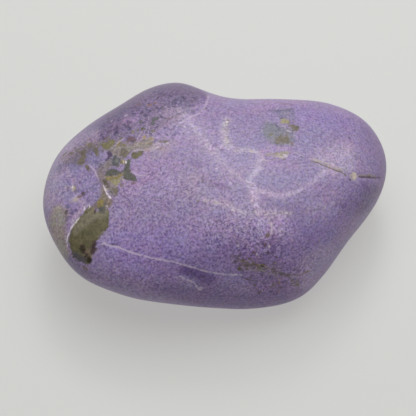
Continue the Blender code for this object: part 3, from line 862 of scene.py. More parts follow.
UNDER_ZONES = [
    Zone(VIOLET, 0.6, 18, [(-90, -90), (60, -100), (130, -50), (110, 20), (0, 30), (-100, 10)]),
    Zone(GREY_LILAC, 0.6, 16, [(-160, -30), (-110, -60), (-80, 0), (-100, 60), (-150, 40)]),
    Zone(PALE_LILAC, 0.4, 16, [(-40, 0), (40, -20), (90, 20), (40, 70), (-40, 60)]),
    Zone(BROWN_GREY, 0.5, 6, [(-112, -44), (-90, -50), (-76, -22), (-86, 8), (-112, -4)]),
    Zone(BLUISH_LILAC, 0.5, 14, [(60, 20), (130, 0), (140, 50), (80, 80)]),
]

UNDER_HAZES = [
    Haze(PALE_LILAC, 0.6, 6, [(-70, 40), (-20, 20), (40, 30), (90, 10)]),
    Haze(PALE_PINK, 0.5, 6, [(-20, -90), (0, -50), (-10, 0), (10, 40)]),
]

UNDER_PATCHES = [
    Patch(OLIVE, 1.2, [(-108, -34), (-96, -44), (-84, -34), (-80, -18), (-90, -4), (-104, -10), (-110, -22)]),
    Patch(DARK_GREEN, 1.4, [(-92, -32), (-84, -28), (-84, -16), (-92, -16)]),
    Patch(OCHRE, 1.4, [(-104, -10), (-96, -8), (-96, 0), (-104, -2)]),
    Patch(GREEN_OLIVE, 1.4, [(-76, 2), (-68, -2), (-64, 6), (-72, 10)]),
    Patch(SMOKE, 2.0, [(60, 44), (72, 38), (82, 46), (74, 56), (62, 54)]),
    Patch(OLIVE_BROWN, 1.6, [(66, 46), (72, 44), (76, 50), (69, 52)]),
]

UNDER_SPOTS = [
    Spot(DARK_BROWN, 1.0, 2.4, (-98, -26), 1.5, 60),
    Spot(UMBER, 0.8, 1.8, (-62, -6), 1.4, 20),
    Spot(OCHRE, 0.8, 1.6, (-84, 6), 1.6, 120),
    Spot(WHITE_VEIN_AND_GLINT, 0.8, 1.3, (10, -30), 1.4, 60),
    Spot(CREAM, 0.8, 1.6, (44, 8), 1.5, 20),
    Spot(DEEP_BLUE, 0.6, 1.9, (100, -20), 1.4, 80),
    Spot(DARK_PURPLE, 0.6, 1.8, (-30, 46), 1.5, 40),
    Spot(UMBER, 0.7, 1.6, (30, -64), 1.6, 150),
    Spot(ORANGE_BROWN, 0.7, 1.4, (38, -60), 1.8, 60),
    Spot(SLATE, 0.6, 1.6, (-124, 20), 1.5, 30),
    Spot(BLUE_GREY, 0.6, 1.9, (120, 30), 1.3, 30),
    Spot(GOLD, 0.6, 1.3, (-50, -60), 1.5, 100),
]

UNDER_VEINS = [
    Vein(PINK_VEIN, 0.7, 1.8, [(-80, -20), (-50, -30), (0, -20), (40, -34), (90, -30), (130, -44)]),
    Vein(PINK_VEIN, 0.5, 1.6, [(-20, -90), (-6, -50), (-14, 0), (4, 40), (0, 80)]),
    Vein(WHITE_VEIN_AND_GLINT, 0.7, 1.6, [(-106, -40), (-114, -26), (-110, -10), (-100, 2)]),
    Vein(DARK_OLIVE, 0.7, 2.0, [(14, -60), (34, -64), (54, -58), (74, -62)]),
    Vein(PINK_VEIN, 0.4, 1.4, [(30, 30), (60, 34), (100, 26), (130, 34)]),
]

UNDER_FLECKS = [
    Haze(OLIVE_BROWN, 0.8, 8, [(-112, -4), (-90, 4), (-72, 6), (-60, 0)]),
    Haze(UMBER, 0.7, 7, [(10, -60), (40, -62), (76, -60)]),
]

UNDER_MOTTLES = [Area(0.7, 12, [(-160, -20), (-120, -40), (-110, 30), (-140, 50)])]

UNDER_FELTS = [Area(0.8, 20, [(-70, -80), (80, -80), (120, 0), (40, 70), (-70, 60)])]

VIEWS = [
    (
        FRONT, FRONT_ZONES, FRONT_HAZES, FRONT_PATCHES, FRONT_SPOTS,
        FRONT_VEINS, FRONT_FLECKS, FRONT_MOTTLES, FRONT_FELTS, FRONT_GROOVES,
    ),
    (
        BACK, BACK_ZONES, BACK_HAZES, BACK_PATCHES, BACK_SPOTS,
        BACK_VEINS, BACK_FLECKS, BACK_MOTTLES, BACK_FELTS, [],
    ),
    (
        UNDER, UNDER_ZONES, UNDER_HAZES, UNDER_PATCHES, UNDER_SPOTS,
        UNDER_VEINS, UNDER_FLECKS, UNDER_MOTTLES, UNDER_FELTS, [],
    ),
]

# The lights, each a square that looks at the origin: its side in metres, its power in watts and its place.
LIGHTS = {
    "softbox": (0.46, 1.38, (0.04, 0.10, 0.42)),
    "window": (0.12, 0.26, (0.02, 0.27, 0.33)),
}

# The sky's strength rises from front to back, between two levels of the direction's Y.
SKY_COLOUR = (0.97, 0.99, 1.0, 1)
SKY_LEVELS = (-0.5, 0.8)
SKY_STRENGTHS = (0.17, 0.38)

# The floor, in metres. It glows a little, and more at the back than in front, between two levels of Y.
FLOOR_REACH = 1.0
FLOOR_COLOUR = (0.265, 0.272, 0.263, 1)
FLOOR_ROUGHNESS = 0.45
FLOOR_SPECULAR = 0.3
GLOW_COLOUR = (1.0, 0.99, 0.95, 1)
GLOW_LEVELS = (-0.03, 0.03)
GLOW_STRENGTHS = (0.365, 0.395)


def make_camera():
    data = bpy.data.cameras.new("camera")
    data.sensor_width = SENSOR_MM
    data.lens = SENSOR_MM * CAMERA_DISTANCE * PIXELS_PER_MM / (PICTURE * MM)
    data.clip_start = 0.01
    camera = bpy.data.objects.new("camera", data)
    camera.location = FRONT.eye
    camera.rotation_euler = (math.radians(90 - CAMERA_ELEVATION_DEG), 0, 0)
    bpy.context.scene.collection.objects.link(camera)
    bpy.context.scene.camera = camera


def area_light(name, side, power, place):
    data = bpy.data.lights.new(name, "AREA")
    data.shape = "SQUARE"
    data.size = side
    data.energy = power
    light = bpy.data.objects.new(name, data)
    light.location = place
    light.rotation_euler = (-Vector(place)).to_track_quat("-Z", "Y").to_euler()
    bpy.context.scene.collection.objects.link(light)


class Nodes:
    """Short calls that add nodes to a tree. Each returns the socket with the node's result."""

    def __init__(self, tree):
        self.tree = tree

    def add(self, kind, inputs=None, output=0, **settings):
        node = self.tree.nodes.new(kind)
        for name, value in settings.items():
            setattr(node, name, value)
        for key, value in (inputs or {}).items():
            if isinstance(value, bpy.types.NodeSocket):
                self.tree.links.new(value, node.inputs[key])
            else:
                node.inputs[key].default_value = value
        return node.outputs[output]

    def maths(self, operation, *values):
        return self.add("ShaderNodeMath", dict(enumerate(values)), operation=operation)

    def vector(self, operation, *values):
        return self.add("ShaderNodeVectorMath", dict(enumerate(values)), operation=operation)

    def scaled(self, vector, factor):
        return self.add("ShaderNodeVectorMath", {0: vector, "Scale": factor}, operation="SCALE")

    def ramp(self, value, low, high, to_low=0.0, to_high=1.0, smooth=True):
        kind = "SMOOTHSTEP" if smooth else "LINEAR"
        inputs = {"Value": value, "From Min": low, "From Max": high, "To Min": to_low, "To Max": to_high}
        return self.add("ShaderNodeMapRange", inputs, interpolation_type=kind)

    def fade(self, value, full, gone):
        """1 up to the value full, falling to 0 at the value gone."""
        return self.ramp(value, full, gone, 1.0, 0.0)

    def product(self, first, second):
        return self.maths("MULTIPLY", first, second)

    def mix(self, factor, first, second, blend="MIX"):
        """Colour first, changed towards second by factor."""
        inputs = {0: factor, 6: first, 7: second}
        return self.add("ShaderNodeMix", inputs, output=2, data_type="RGBA", blend_type=blend)

    def toned(self, colour, tone):
        """A colour multiplied by a tone."""
        return self.mix(1.0, colour, tone, "MULTIPLY")

    def blend(self, factor, first, second):
        """Number first, changed towards second by factor."""
        return self.add("ShaderNodeMix", {0: factor, 2: first, 3: second})

    def grain(self, vector, scale, detail, roughness=0.5, output="Fac"):
        inputs = {"Vector": vector, "Scale": scale, "Detail": detail, "Roughness": roughness}
        return self.add("ShaderNodeTexNoise", inputs, output=output)

    def noise(self, vector, noise):
        """A noise of the kind that a Noise describes."""
        grain = self.grain(vector, noise.scale, noise.detail, noise.roughness)
        return self.ramp(grain, noise.low, noise.high, noise.to_low, noise.to_high, noise.smooth)

    def streaks(self, vector, angle_deg, tilt_deg, length, width):
        """Noise drawn out along one direction, to the given length and width in millimetres."""
        inputs = {
            "Vector": vector,
            "Rotation": (0, math.radians(tilt_deg), math.radians(angle_deg)),
            "Scale": (length, width, width),
        }
        turned = self.add("ShaderNodeMapping", inputs, vector_type="TEXTURE")
        return self.grain(turned, 1.0, 1.0)

    def layer(self, name, output="Fac"):
        return self.add("ShaderNodeAttribute", output=output, attribute_name=name)


def make_light():
    for name, (side, power, place) in LIGHTS.items():
        area_light(name, side, power, place)
    world = bpy.data.worlds.new("world")
    world.use_nodes = True
    nodes = Nodes(world.node_tree)
    background = world.node_tree.nodes["Background"]
    background.inputs["Color"].default_value = SKY_COLOUR
    direction = nodes.add("ShaderNodeTexCoord", output="Generated")
    level = nodes.add("ShaderNodeSeparateXYZ", {0: direction}, output="Y")
    strength = nodes.ramp(level, *SKY_LEVELS, *SKY_STRENGTHS)
    world.node_tree.links.new(strength, background.inputs["Strength"])
    bpy.context.scene.world = world
    bpy.context.scene.view_settings.view_transform = "Standard"


def floor_material():
    material = bpy.data.materials.new("floor")
    material.use_nodes = True
    shader = material.node_tree.nodes["Principled BSDF"]
    shader.inputs["Base Color"].default_value = FLOOR_COLOUR
    shader.inputs["Roughness"].default_value = FLOOR_ROUGHNESS
    shader.inputs["Specular IOR Level"].default_value = FLOOR_SPECULAR
    shader.inputs["Emission Color"].default_value = GLOW_COLOUR
    nodes = Nodes(material.node_tree)
    place = nodes.add("ShaderNodeTexCoord", output="Object")
    level = nodes.add("ShaderNodeSeparateXYZ", {0: place}, output="Y")
    glow = nodes.ramp(level, *GLOW_LEVELS, *GLOW_STRENGTHS, smooth=False)
    material.node_tree.links.new(glow, shader.inputs["Emission Strength"])
    return material


def make_floor():
    bm = bmesh.new()
    bmesh.ops.create_grid(bm, x_segments=1, y_segments=1, size=FLOOR_REACH)
    mesh = bpy.data.meshes.new("floor")
    bm.to_mesh(mesh)
    bm.free()
    mesh.materials.append(floor_material())
    floor = bpy.data.objects.new("floor", mesh)
    bpy.context.scene.collection.objects.link(floor)


# The stone's surface map: each side of the cube that it is spread from has one of 3 x 2 fields. The longer
# way of each field goes to the longer way of its side.
MAP_NAME = "OFBake"
MAP_COLUMNS = 3
MAP_ROWS = 2
MAP_MARGIN = 0.012
CUBE_SIDES = [
    ((0, 0, 1), (0, -1, 0), (1, 0, 0)),
    ((0, 0, -1), (0, 1, 0), (1, 0, 0)),
    ((0, -1, 0), (0, 0, -1), (1, 0, 0)),
    ((0, 1, 0), (0, 0, 1), (1, 0, 0)),
    ((1, 0, 0), (0, 0, -1), (0, 1, 0)),
    ((-1, 0, 0), (0, 0, 1), (0, 1, 0)),
]


def map_cube(bm):
    """Give each face of the cube its place on the surface map."""
    layer = bm.loops.layers.uv.new(MAP_NAME)
    for face in bm.faces:
        centre = face.calc_center_median()
        side = max(range(len(CUBE_SIDES)), key=lambda index: Vector(CUBE_SIDES[index][0]).dot(centre))
        column, row = side % MAP_COLUMNS, side // MAP_COLUMNS
        _, across, along = CUBE_SIDES[side]
        for loop in face.loops:
            u = 0.5 + (0.5 - MAP_MARGIN) * loop.vert.co.dot(Vector(across))
            v = 0.5 + (0.5 - MAP_MARGIN) * loop.vert.co.dot(Vector(along))
            loop[layer].uv = ((column + u) / MAP_COLUMNS, (row + v) / MAP_ROWS)


def stone_mesh():
    """A fine mesh of quads wrapped over the solid from the stone's middle outwards."""
    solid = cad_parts["stone"]
    tree = BVHTree.FromObject(solid, bpy.context.evaluated_depsgraph_get())
    bm = bmesh.new()
    bmesh.ops.create_cube(bm, size=2.0)
    bmesh.ops.subdivide_edges(bm, edges=bm.edges[:], cuts=GRID - 1, use_grid_fill=True)
    map_cube(bm)
    corners = np.array([vert.co for vert in bm.verts])
    directions = unit(unit(np.tan(corners * math.pi / 4)) * PROPORTIONS)
    for vert, direction in zip(bm.verts, directions):
        vert.co = tree.ray_cast(MIDDLE, Vector(direction))[0]
    coarse = bpy.data.meshes.new("coarse")
    bm.to_mesh(coarse)
    bm.free()
    cage = bpy.data.objects.new("cage", coarse)
    bpy.context.scene.collection.objects.link(cage)
    finer = cage.modifiers.new("finer", "SUBSURF")
    finer.levels = FINER
    finer.render_levels = FINER
    finer.uv_smooth = "NONE"
    depsgraph = bpy.context.evaluated_depsgraph_get()
    mesh = bpy.data.meshes.new_from_object(cage.evaluated_get(depsgraph))
    bpy.data.objects.remove(cage)
    mesh.name = "stone"
    mesh.shade_smooth()
    return mesh


# Points that a smooth curve has on each stretch between two of its given points.
CURVE_STEPS = 6

# Zones and areas fade out where the surface faces their view less squarely than this.
HORIZON = 0.15

# How far round a marking the surface is looked at, in millimetres.
REACH = 2.5

# What is stored where there is no mark: a measure well past the edge of every mark.
FAR = 50.0

# How far the colours of two patches run into each other, in the measure of their depths.
PATCH_BLEND = 0.5

# Spots closer together than the gap, in a view's units, go to different layers, as far as there are any.
SPOT_LAYERS = 3
SPOT_GAP = 8.0

# A vein narrows over this share of its length at each end, and there keeps at least this share of its width.
VEIN_TAPER = 0.1
VEIN_TIP = 0.25


def smooth_curve(points, closed=False):
    """A smooth curve through points in a view."""
    points = np.array(points, dtype=float)
    if closed:
        before, start = np.roll(points, 1, axis=0), points
        end, after = np.roll(points, -1, axis=0), np.roll(points, -2, axis=0)
    else:
        longer = np.concatenate([points[:1], points, points[-1:]])
        before, start, end, after = longer[:-3], longer[1:-2], longer[2:-1], longer[3:]
    curve = []
    for a, b, c, d in zip(before, start, end, after):
        slope = c - a
        bend = 2 * a - 5 * b + 4 * c - d
        change = 3 * b - a - 3 * c + d
        for step in range(CURVE_STEPS):
            t = step / CURVE_STEPS
            curve.append(0.5 * (2 * b + slope * t + bend * t**2 + change * t**3))
    if not closed:
        curve.append(points[-1])
    return np.array(curve)


def smooth_step(value, low, high):
    t = np.clip((value - low) / (high - low), 0, 1)
    return t * t * (3 - 2 * t)


class SpotLayer:
    """For each point, the spot that it is nearest to, and where in the spot's own measure it lies."""

    def __init__(self, count):
        self.places = []
        self.offset = np.full((count, 3), FAR)
        self.reach = np.full(count, FAR)
        self.beyond = np.full(count, FAR)
        self.colour = np.tile(OLIVE, (count, 1))
        self.strength = np.zeros(count)

    def room(self, place):
        """How far a place in a view lies from the nearest spot."""
        return min((math.dist(place, other) for other in self.places), default=FAR)

    def add(self, view, spot, offsets, free):
        """Add a spot, from each point's offset from it in the view's units and how free the point is."""
        self.places.append(spot.place)
        turn = math.radians(spot.turn)
        right, down = offsets @ np.array(view.right), -offsets @ np.array(view.up)
        along = right * math.cos(turn) + down * math.sin(turn)
        aside = down * math.cos(turn) - right * math.sin(turn)
        outward = offsets @ np.array(view.outward)
        scaled = np.column_stack([along / spot.stretch, aside, outward]) / spot.radius
        reach = np.linalg.norm(scaled, axis=1)
        nearer = (reach < self.reach) & (free > 0)
        self.offset[nearer] = scaled[nearer]
        self.reach[nearer] = reach[nearer]
        self.beyond[nearer] = (reach[nearer] - 1) * spot.radius
        self.colour[nearer] = spot.colour
        self.strength[nearer] = spot.strength * free[nearer]


class Surface:
    """The fine mesh's points, and the layers of marks on them."""

    def __init__(self, mesh):
        count = len(mesh.vertices)
        self.mesh = mesh
        self.tree = BVHTree.FromPolygons([v.co for v in mesh.vertices], [p.vertices for p in mesh.polygons])
        self.points = np.empty(count * 3)
        mesh.vertices.foreach_get("co", self.points)
        self.points = self.points.reshape(-1, 3)
        self.normals = np.empty(count * 3)
        mesh.vertices.foreach_get("normal", self.normals)
        self.normals = self.normals.reshape(-1, 3)
        self.ground = np.tile(LILAC, (count, 1))
        self.patch = np.tile(OLIVE, (count, 1))
        self.patch_depth = np.full(count, -FAR)
        self.spots = [SpotLayer(count) for _ in range(SPOT_LAYERS)]
        self.vein = np.tile(PINK_VEIN, (count, 1))
        self.vein_strength = np.zeros(count)
        self.vein_across = np.full(count, FAR)
        self.vein_away = np.full(count, FAR)
        self.fleck = np.tile(OLIVE_BROWN, (count, 1))
        self.fleck_share = np.zeros(count)
        self.mottle = np.zeros(count)
        self.felt = np.full(count, PLAIN_FELT)
        self.unseen = 1 - smooth_step(FRONT.facing(self.points, self.normals), 0, HORIZON)
        self.free = np.ones(count)

    def depth(self, view, outline):
        """How far each point shows inside an outline in a view, in the view's units, below 0 outside it."""
        outline = smooth_curve(outline, closed=True)
        margin = REACH * view.units_per_mm
        depth = np.full(len(self.points), -margin)
        places = view.places(self.points)
        near = view.facing(self.points, self.normals) > 0
        near &= np.all(places > outline.min(axis=0) - margin, axis=1)
        near &= np.all(places < outline.max(axis=0) + margin, axis=1)
        x, y = places[near].T
        gap = np.full(len(x), margin)
        inside = np.zeros(len(x), dtype=bool)
        for (x0, y0), (x1, y1) in zip(outline, np.roll(outline, -1, axis=0)):
            dx, dy = x1 - x0, y1 - y0
            t = np.clip(((x - x0) * dx + (y - y0) * dy) / max(dx * dx + dy * dy, 1e-9), 0, 1)
            gap = np.minimum(gap, np.hypot(x - x0 - t * dx, y - y0 - t * dy))
            if dy:
                inside ^= ((y0 > y) != (y1 > y)) & (x < x0 + (y - y0) * dx / dy)
        depth[near] = np.where(inside, gap, -gap)
        return depth

    def path(self, view, line):
        """The points of the surface that a smooth line in a view runs over."""
        hits = [view.hit(self.tree, x, y) for x, y in smooth_curve(line)]
        return np.array([hit for hit in hits if hit is not None])

    def across(self, path):
        """Each point's signed distance from a path in millimetres, and its place along it, from 0 to 1."""
        margin = REACH * MM
        near = np.all(self.points > path.min(axis=0) - margin, axis=1)
        near &= np.all(self.points < path.max(axis=0) + margin, axis=1)
        points, normals = self.points[near], self.normals[near]
        best = np.full(len(points), margin)
        side = np.ones(len(points))
        along = np.zeros(len(points))
        last = len(path) - 1
        for index in range(last):
            step = path[index + 1] - path[index]
            offset = points - path[index]
            t = np.clip(offset @ step / max(step @ step, 1e-18), 0, 1)
            gap = offset - t[:, None] * step
            distance = np.linalg.norm(gap, axis=1)
            closer = distance < best
            best[closer] = distance[closer]
            side[closer] = np.sign((gap * np.cross(normals, step)).sum(axis=1))[closer]
            along[closer] = (index + t[closer]) / last
        signed = np.full(len(self.points), margin / MM)
        signed[near] = best * np.where(side < 0, -1, 1) / MM
        share = np.zeros(len(self.points))
        share[near] = along
        return signed, share

    def band(self, view, haze):
        """How strongly each point lies in a soft band."""
        signed, _ = self.across(self.path(view, haze.line))
        return haze.strength * self.free * np.exp(-((signed * view.units_per_mm / haze.half_width) ** 2))

    def inside(self, view, area):
        """How strongly each point lies in a zone or an area."""
        soft = smooth_step(self.depth(view, area.outline), -area.softness, area.softness)
        seen = smooth_step(view.facing(self.points, self.normals), 0, HORIZON)
        return area.strength * soft * self.free * seen

    def paint(self, layer, colour, strength):
        layer += (colour - layer) * strength[:, None]

    def add_patch(self, depth, colour):
        """Lay a patch over the patches before it."""
        over = np.where(depth > self.patch_depth, 1.0, smooth_step(depth, -PATCH_BLEND, PATCH_BLEND))
        self.paint(self.patch, colour, over)
        self.patch_depth = np.maximum(self.patch_depth, depth)

    def add_vein(self, view, vein):
        signed, share = self.across(self.path(view, vein.line))
        taper = np.clip(np.minimum(share, 1 - share) / VEIN_TAPER, VEIN_TIP, 1)
        scaled = signed * view.units_per_mm / (vein.width / 2 * taper)
        nearer = (np.abs(scaled) < np.abs(self.vein_across)) & (self.free > 0)
        self.vein_across[nearer] = scaled[nearer]
        self.vein_away[nearer] = np.abs(scaled[nearer])
        self.vein[nearer] = vein.colour
        self.vein_strength[nearer] = vein.strength * self.free[nearer]

    def cut_groove(self, view, groove):
        signed, _ = self.across(self.path(view, groove.line))
        depth = groove.depth * MM * np.exp(-((signed * view.units_per_mm / groove.half_width) ** 2))
        self.points -= self.normals * depth[:, None]

    def add_view(self, view, zones, hazes, patches, spots, veins, flecks, mottles, felts, grooves):
        """Lay on what a view shows. Only the front view marks what the picture shows."""
        self.free = np.ones(len(self.points)) if view is FRONT else self.unseen
        for zone in zones:
            self.paint(self.ground, zone.colour, self.inside(view, zone))
        for haze in hazes:
            self.paint(self.ground, haze.colour, self.band(view, haze))
        for patch in patches:
            depth = self.depth(view, patch.outline) / patch.softness - (1 - self.free) * FAR
            self.add_patch(depth, patch.colour)
        for spot in spots:
            centre = np.array(view.hit(self.tree, *spot.place))
            offsets = (self.points - centre) / MM * view.units_per_mm
            layer = next((layer for layer in self.spots if layer.room(spot.place) > SPOT_GAP), None)
            layer = layer or max(self.spots, key=lambda layer: layer.room(spot.place))
            layer.add(view, spot, offsets, self.free)
        for vein in veins:
            self.add_vein(view, vein)
        for fleck in flecks:
            share = self.band(view, fleck)
            stronger = share > self.fleck_share
            self.fleck_share[stronger] = share[stronger]
            self.fleck[stronger] = fleck.colour
        for area in mottles:
            self.mottle = np.maximum(self.mottle, self.inside(view, area))
        for area in felts:
            self.felt = np.maximum(self.felt, self.inside(view, area))
        for groove in grooves:
            self.cut_groove(view, groove)

    def store_number(self, name, values):
        layer = self.mesh.attributes.new(name, "FLOAT", "POINT")
        layer.data.foreach_set("value", values)

    def store_vector(self, name, vectors):
        layer = self.mesh.attributes.new(name, "FLOAT_VECTOR", "POINT")
        layer.data.foreach_set("vector", vectors.ravel())

    def store_colour(self, name, colours, alpha):
        layer = self.mesh.attributes.new(name, "FLOAT_COLOR", "POINT")
        layer.data.foreach_set("color", np.column_stack([colours, alpha]).ravel())

    def store(self):
        self.store_colour("ground", self.ground, self.felt)
        self.store_colour("patch", self.patch, np.ones(len(self.points)))
        self.store_number("patch_depth", np.clip(self.patch_depth, -FAR, FAR))
        for index, layer in enumerate(self.spots):
            self.store_vector(f"spot_offset_{index}", np.clip(layer.offset, -FAR, FAR))
            self.store_number(f"spot_beyond_{index}", np.clip(layer.beyond, -FAR, FAR))
            self.store_colour(f"spot_{index}", layer.colour, layer.strength)
        self.store_colour("vein", self.vein, self.vein_strength)
        self.store_number("vein_across", np.clip(self.vein_across, -FAR, FAR))
        self.store_number("vein_away", np.clip(self.vein_away, -FAR, FAR))
        self.store_colour("fleck", self.fleck, self.fleck_share)
        self.store_number("mottle", self.mottle)
        self.mesh.vertices.foreach_set("co", self.points.ravel())


# A noise over the stone: its waves in a millimetre, its detail, the range of it that is used, what that
# range is spread to, its roughness, and whether the range ends smoothly.
Noise = namedtuple(
    "Noise",
    "scale detail low high to_low to_high roughness smooth",
    defaults=(0.0, 1.0, 0.5, True),
)
BROAD_HUE = Noise(0.5, 2.0, 0.38, 0.62)
FINE_HUE = Noise(3.4, 1.0, 0.3, 0.7, smooth=False)
WARM_HUE = Noise(2.2, 2.0, 0.3, 0.7, smooth=False)
CELL_SHADE = Noise(1.9, 2.0, 0.40, 0.58)
PATCH_RAGGEDNESS = Noise(3.0, 3.0, 0.3, 0.7, -1.1, 1.1, roughness=0.6, smooth=False)
PATCH_SHADE = Noise(3.2, 4.0, 0.32, 0.68, roughness=0.7)
SPOT_UNEVENNESS = Noise(6.0, 2.0, 0.3, 0.7, -0.3, 0.3, smooth=False)
VEIN_WAVER = Noise(4.0, 2.0, 0.3, 0.7, -0.5, 0.5, smooth=False)
VEIN_STRENGTH = Noise(2.2, 2.0, 0.34, 0.48, 0.35, 1.0)

# Noises used as they are, as scale and detail, and for some also roughness.
DRIFT_GRAIN = (0.9, 2.0)
TURN_GRAIN = (0.45, 1.0)
SPECK_GRAIN = (4.4, 2.0, 0.6)
FLECK_GRAIN = (2.3, 3.0, 0.65)

# Tones that a colour is multiplied by. Of two tones, the first is for the low end of what changes them.
BROAD_TONES = ((0.97, 1.01, 1.01, 1), (1.03, 0.98, 0.99, 1))
FINE_TONES = ((1.0, 1.05, 0.91, 1), (1.0, 0.95, 1.09, 1))
WARM_TONES = ((0.96, 1.005, 1.02, 1), (1.04, 0.995, 0.98, 1))
FELT_TONES = ((0.42, 0.34, 0.52, 1), (1.58, 1.68, 1.44, 1))
CELL_TONES = ((0.50, 0.47, 0.62, 1), (1.08, 1.05, 1.06, 1))
NET_TONE = (1.22, 1.13, 1.16, 1)
PATCH_TONES = ((0.68, 0.68, 0.72, 1), (1.3, 1.3, 1.28, 1))

# How widely places are drawn about, in millimetres, for most of the surface and for the net.
DRIFT = 1.2
NET_DRIFT = 2.0

# The fibres: their length and width in millimetres, and their directions, as an angle and a tilt in degrees.
# Each turned direction takes over from the one before it in its range of the turning noise.
FIBRE_SIZE = (0.5, 0.2)
FIRST_FIBRES = (25, 0)
TURNED_FIBRES = [((85, 20), (0.42, 0.48)), ((145, -20), (0.53, 0.59))]

# The share of specks in the felt, and the range of both that is used.
SPECK_SHARE = 0.6
FELT_RANGE = (0.36, 0.64)

# The net: its cells in a millimetre, and how far its lines reach from the cells' edges.
NET_SCALE = 1.5
NET_EDGE = (0.03, 0.25)

# Flecks show above a limit in their noise, which goes from the first number to the second with their share.
FLECK_LIMITS = (0.72, 0.50)
FLECK_EDGE = (0.0, 0.05)
FLECK_FADE = (0.02, 0.15)

# The edges of patches, spots and veins, and how far out the noise may carry a spot or a vein.
PATCH_EDGE = (-0.7, 0.7)
SPOT_EDGE = (0.5, 1.4)
SPOT_END = (2.6, 4.0)
VEIN_EDGE = (0.5, 1.6)
VEIN_END = (2.6, 3.4)

# The polish: the felt's roughness from dark to light, the patches' roughness, and the index of refraction.
FELT_ROUGHNESS = (0.40, 0.48)
PATCH_ROUGHNESS = 0.36
REFRACTION = 1.48


def fibre_felt(nodes, place, drawn):
    """Felted short fibres, which turn from place to place: below 0.5 where dark, and above it where light."""
    turn = nodes.grain(place, *TURN_GRAIN)
    fibres = nodes.streaks(drawn, *FIRST_FIBRES, *FIBRE_SIZE)
    for direction, change in TURNED_FIBRES:
        turned = nodes.streaks(drawn, *direction, *FIBRE_SIZE)
        fibres = nodes.blend(nodes.ramp(turn, *change), fibres, turned)
    felt = nodes.blend(SPECK_SHARE, fibres, nodes.grain(place, *SPECK_GRAIN))
    felt = nodes.ramp(felt, *FELT_RANGE, -0.5, 0.5, smooth=False)
    return nodes.maths("ADD", 0.5, nodes.product(felt, nodes.layer("ground", "Alpha")))


def felted_ground(nodes, place, drawn, felt):
    """The ground's colour, varied a little from place to place, in the tones of the felt."""
    hues = [(place, BROAD_HUE, BROAD_TONES), (place, FINE_HUE, FINE_TONES), (drawn, WARM_HUE, WARM_TONES)]
    ground = nodes.layer("ground", "Color")
    for where, noise, tones in hues:
        ground = nodes.toned(ground, nodes.mix(nodes.noise(where, noise), *tones))
    dark, light = FELT_TONES
    return nodes.mix(felt, nodes.toned(ground, dark), nodes.toned(ground, light))


def add_net(nodes, place, drift, colour):
    """Lay on a net of pinkish and grey veinlets round darker cells."""
    inputs = {"Vector": nodes.vector("ADD", place, nodes.scaled(drift, NET_DRIFT)), "Scale": NET_SCALE}
    edge = nodes.add("ShaderNodeTexVoronoi", inputs, output="Distance", feature="DISTANCE_TO_EDGE")
    cell_tone = nodes.mix(nodes.noise(place, CELL_SHADE), *CELL_TONES)
    mottled = nodes.toned(colour, nodes.mix(nodes.fade(edge, *NET_EDGE), cell_tone, NET_TONE))
    return nodes.mix(nodes.layer("mottle"), colour, mottled)


def add_flecks(nodes, drawn, colour):
    """Lay on small flecks of other minerals."""
    share = nodes.layer("fleck", "Alpha")
    limit = nodes.ramp(share, 0.0, 1.0, *FLECK_LIMITS, smooth=False)
    beyond = nodes.maths("SUBTRACT", nodes.grain(drawn, *FLECK_GRAIN), limit)
    mask = nodes.product(nodes.ramp(beyond, *FLECK_EDGE), nodes.ramp(share, *FLECK_FADE))
    return nodes.mix(mask, colour, nodes.layer("fleck", "Color"))


def add_patches(nodes, drawn, mask, colour):
    """Lay on patches of serpentine where the mask lets them show."""
    tone = nodes.mix(nodes.noise(drawn, PATCH_SHADE), *PATCH_TONES)
    return nodes.mix(mask, colour, nodes.toned(nodes.layer("patch", "Color"), tone))


def add_spots(nodes, place, colour):
    """Lay on the small spots, one layer of them over another."""
    uneven = nodes.noise(place, SPOT_UNEVENNESS)
    for index in range(SPOT_LAYERS):
        offset = nodes.layer(f"spot_offset_{index}", "Vector")
        away = nodes.add("ShaderNodeVectorMath", {0: offset}, "Value", operation="LENGTH")
        mask = nodes.fade(nodes.maths("ADD", away, uneven), *SPOT_EDGE)
        gate = nodes.fade(nodes.layer(f"spot_beyond_{index}"), *SPOT_END)
        mask = nodes.product(mask, nodes.product(gate, nodes.layer(f"spot_{index}", "Alpha")))
        colour = nodes.mix(mask, colour, nodes.layer(f"spot_{index}", "Color"))
    return colour


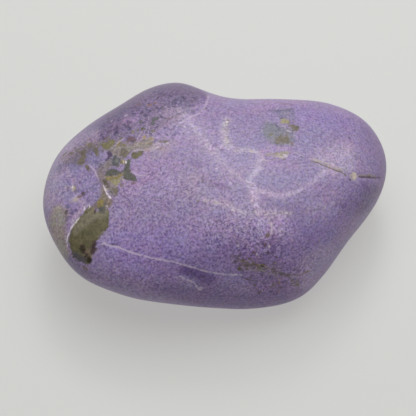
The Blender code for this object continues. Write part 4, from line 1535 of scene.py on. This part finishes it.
def add_veins(nodes, place, colour):
    """Lay on the fine lines: veins, and a glint line painted like them, which waver and are stronger in some
    places than in others.
    """
    across = nodes.maths("ADD", nodes.layer("vein_across"), nodes.noise(place, VEIN_WAVER))
    mask = nodes.fade(nodes.maths("ABSOLUTE", across), *VEIN_EDGE)
    mask = nodes.product(mask, nodes.fade(nodes.layer("vein_away"), *VEIN_END))
    strength = nodes.product(nodes.layer("vein", "Alpha"), nodes.noise(place, VEIN_STRENGTH))
    return nodes.mix(nodes.product(mask, strength), colour, nodes.layer("vein", "Color"))


def stone_material():
    material = bpy.data.materials.new("stichtite")
    material.use_nodes = True
    shader = material.node_tree.nodes["Principled BSDF"]
    nodes = Nodes(material.node_tree)

    # The place on the stone in millimetres, and the same drawn about a little.
    place = nodes.scaled(nodes.add("ShaderNodeTexCoord", output="Object"), 1 / MM)
    drift = nodes.grain(place, *DRIFT_GRAIN, output="Color")
    drift = nodes.vector("SUBTRACT", drift, (0.5, 0.5, 0.5))
    drawn = nodes.vector("ADD", place, nodes.scaled(drift, DRIFT))

    felt = fibre_felt(nodes, place, drawn)
    depth = nodes.maths("ADD", nodes.layer("patch_depth"), nodes.noise(place, PATCH_RAGGEDNESS))
    patch_mask = nodes.ramp(depth, *PATCH_EDGE)

    colour = felted_ground(nodes, place, drawn, felt)
    colour = add_net(nodes, place, drift, colour)
    colour = add_flecks(nodes, drawn, colour)
    colour = add_patches(nodes, drawn, patch_mask, colour)
    colour = add_spots(nodes, place, colour)
    colour = add_veins(nodes, place, colour)

    roughness = nodes.ramp(felt, 0.0, 1.0, *FELT_ROUGHNESS, smooth=False)
    roughness = nodes.blend(patch_mask, roughness, PATCH_ROUGHNESS)
    links = material.node_tree.links
    links.new(colour, shader.inputs["Base Color"])
    links.new(roughness, shader.inputs["Roughness"])
    shader.inputs["IOR"].default_value = REFRACTION
    return material


def make_stone():
    mesh = stone_mesh()
    surface = Surface(mesh)
    for marks in VIEWS:
        surface.add_view(*marks)
    surface.store()
    mesh.materials.append(stone_material())
    stone = bpy.data.objects.new("polished_stone", mesh)
    bpy.context.scene.collection.objects.link(stone)
    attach(stone, "root")
    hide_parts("stone")


make_camera()
make_light()
make_floor()
make_stone()
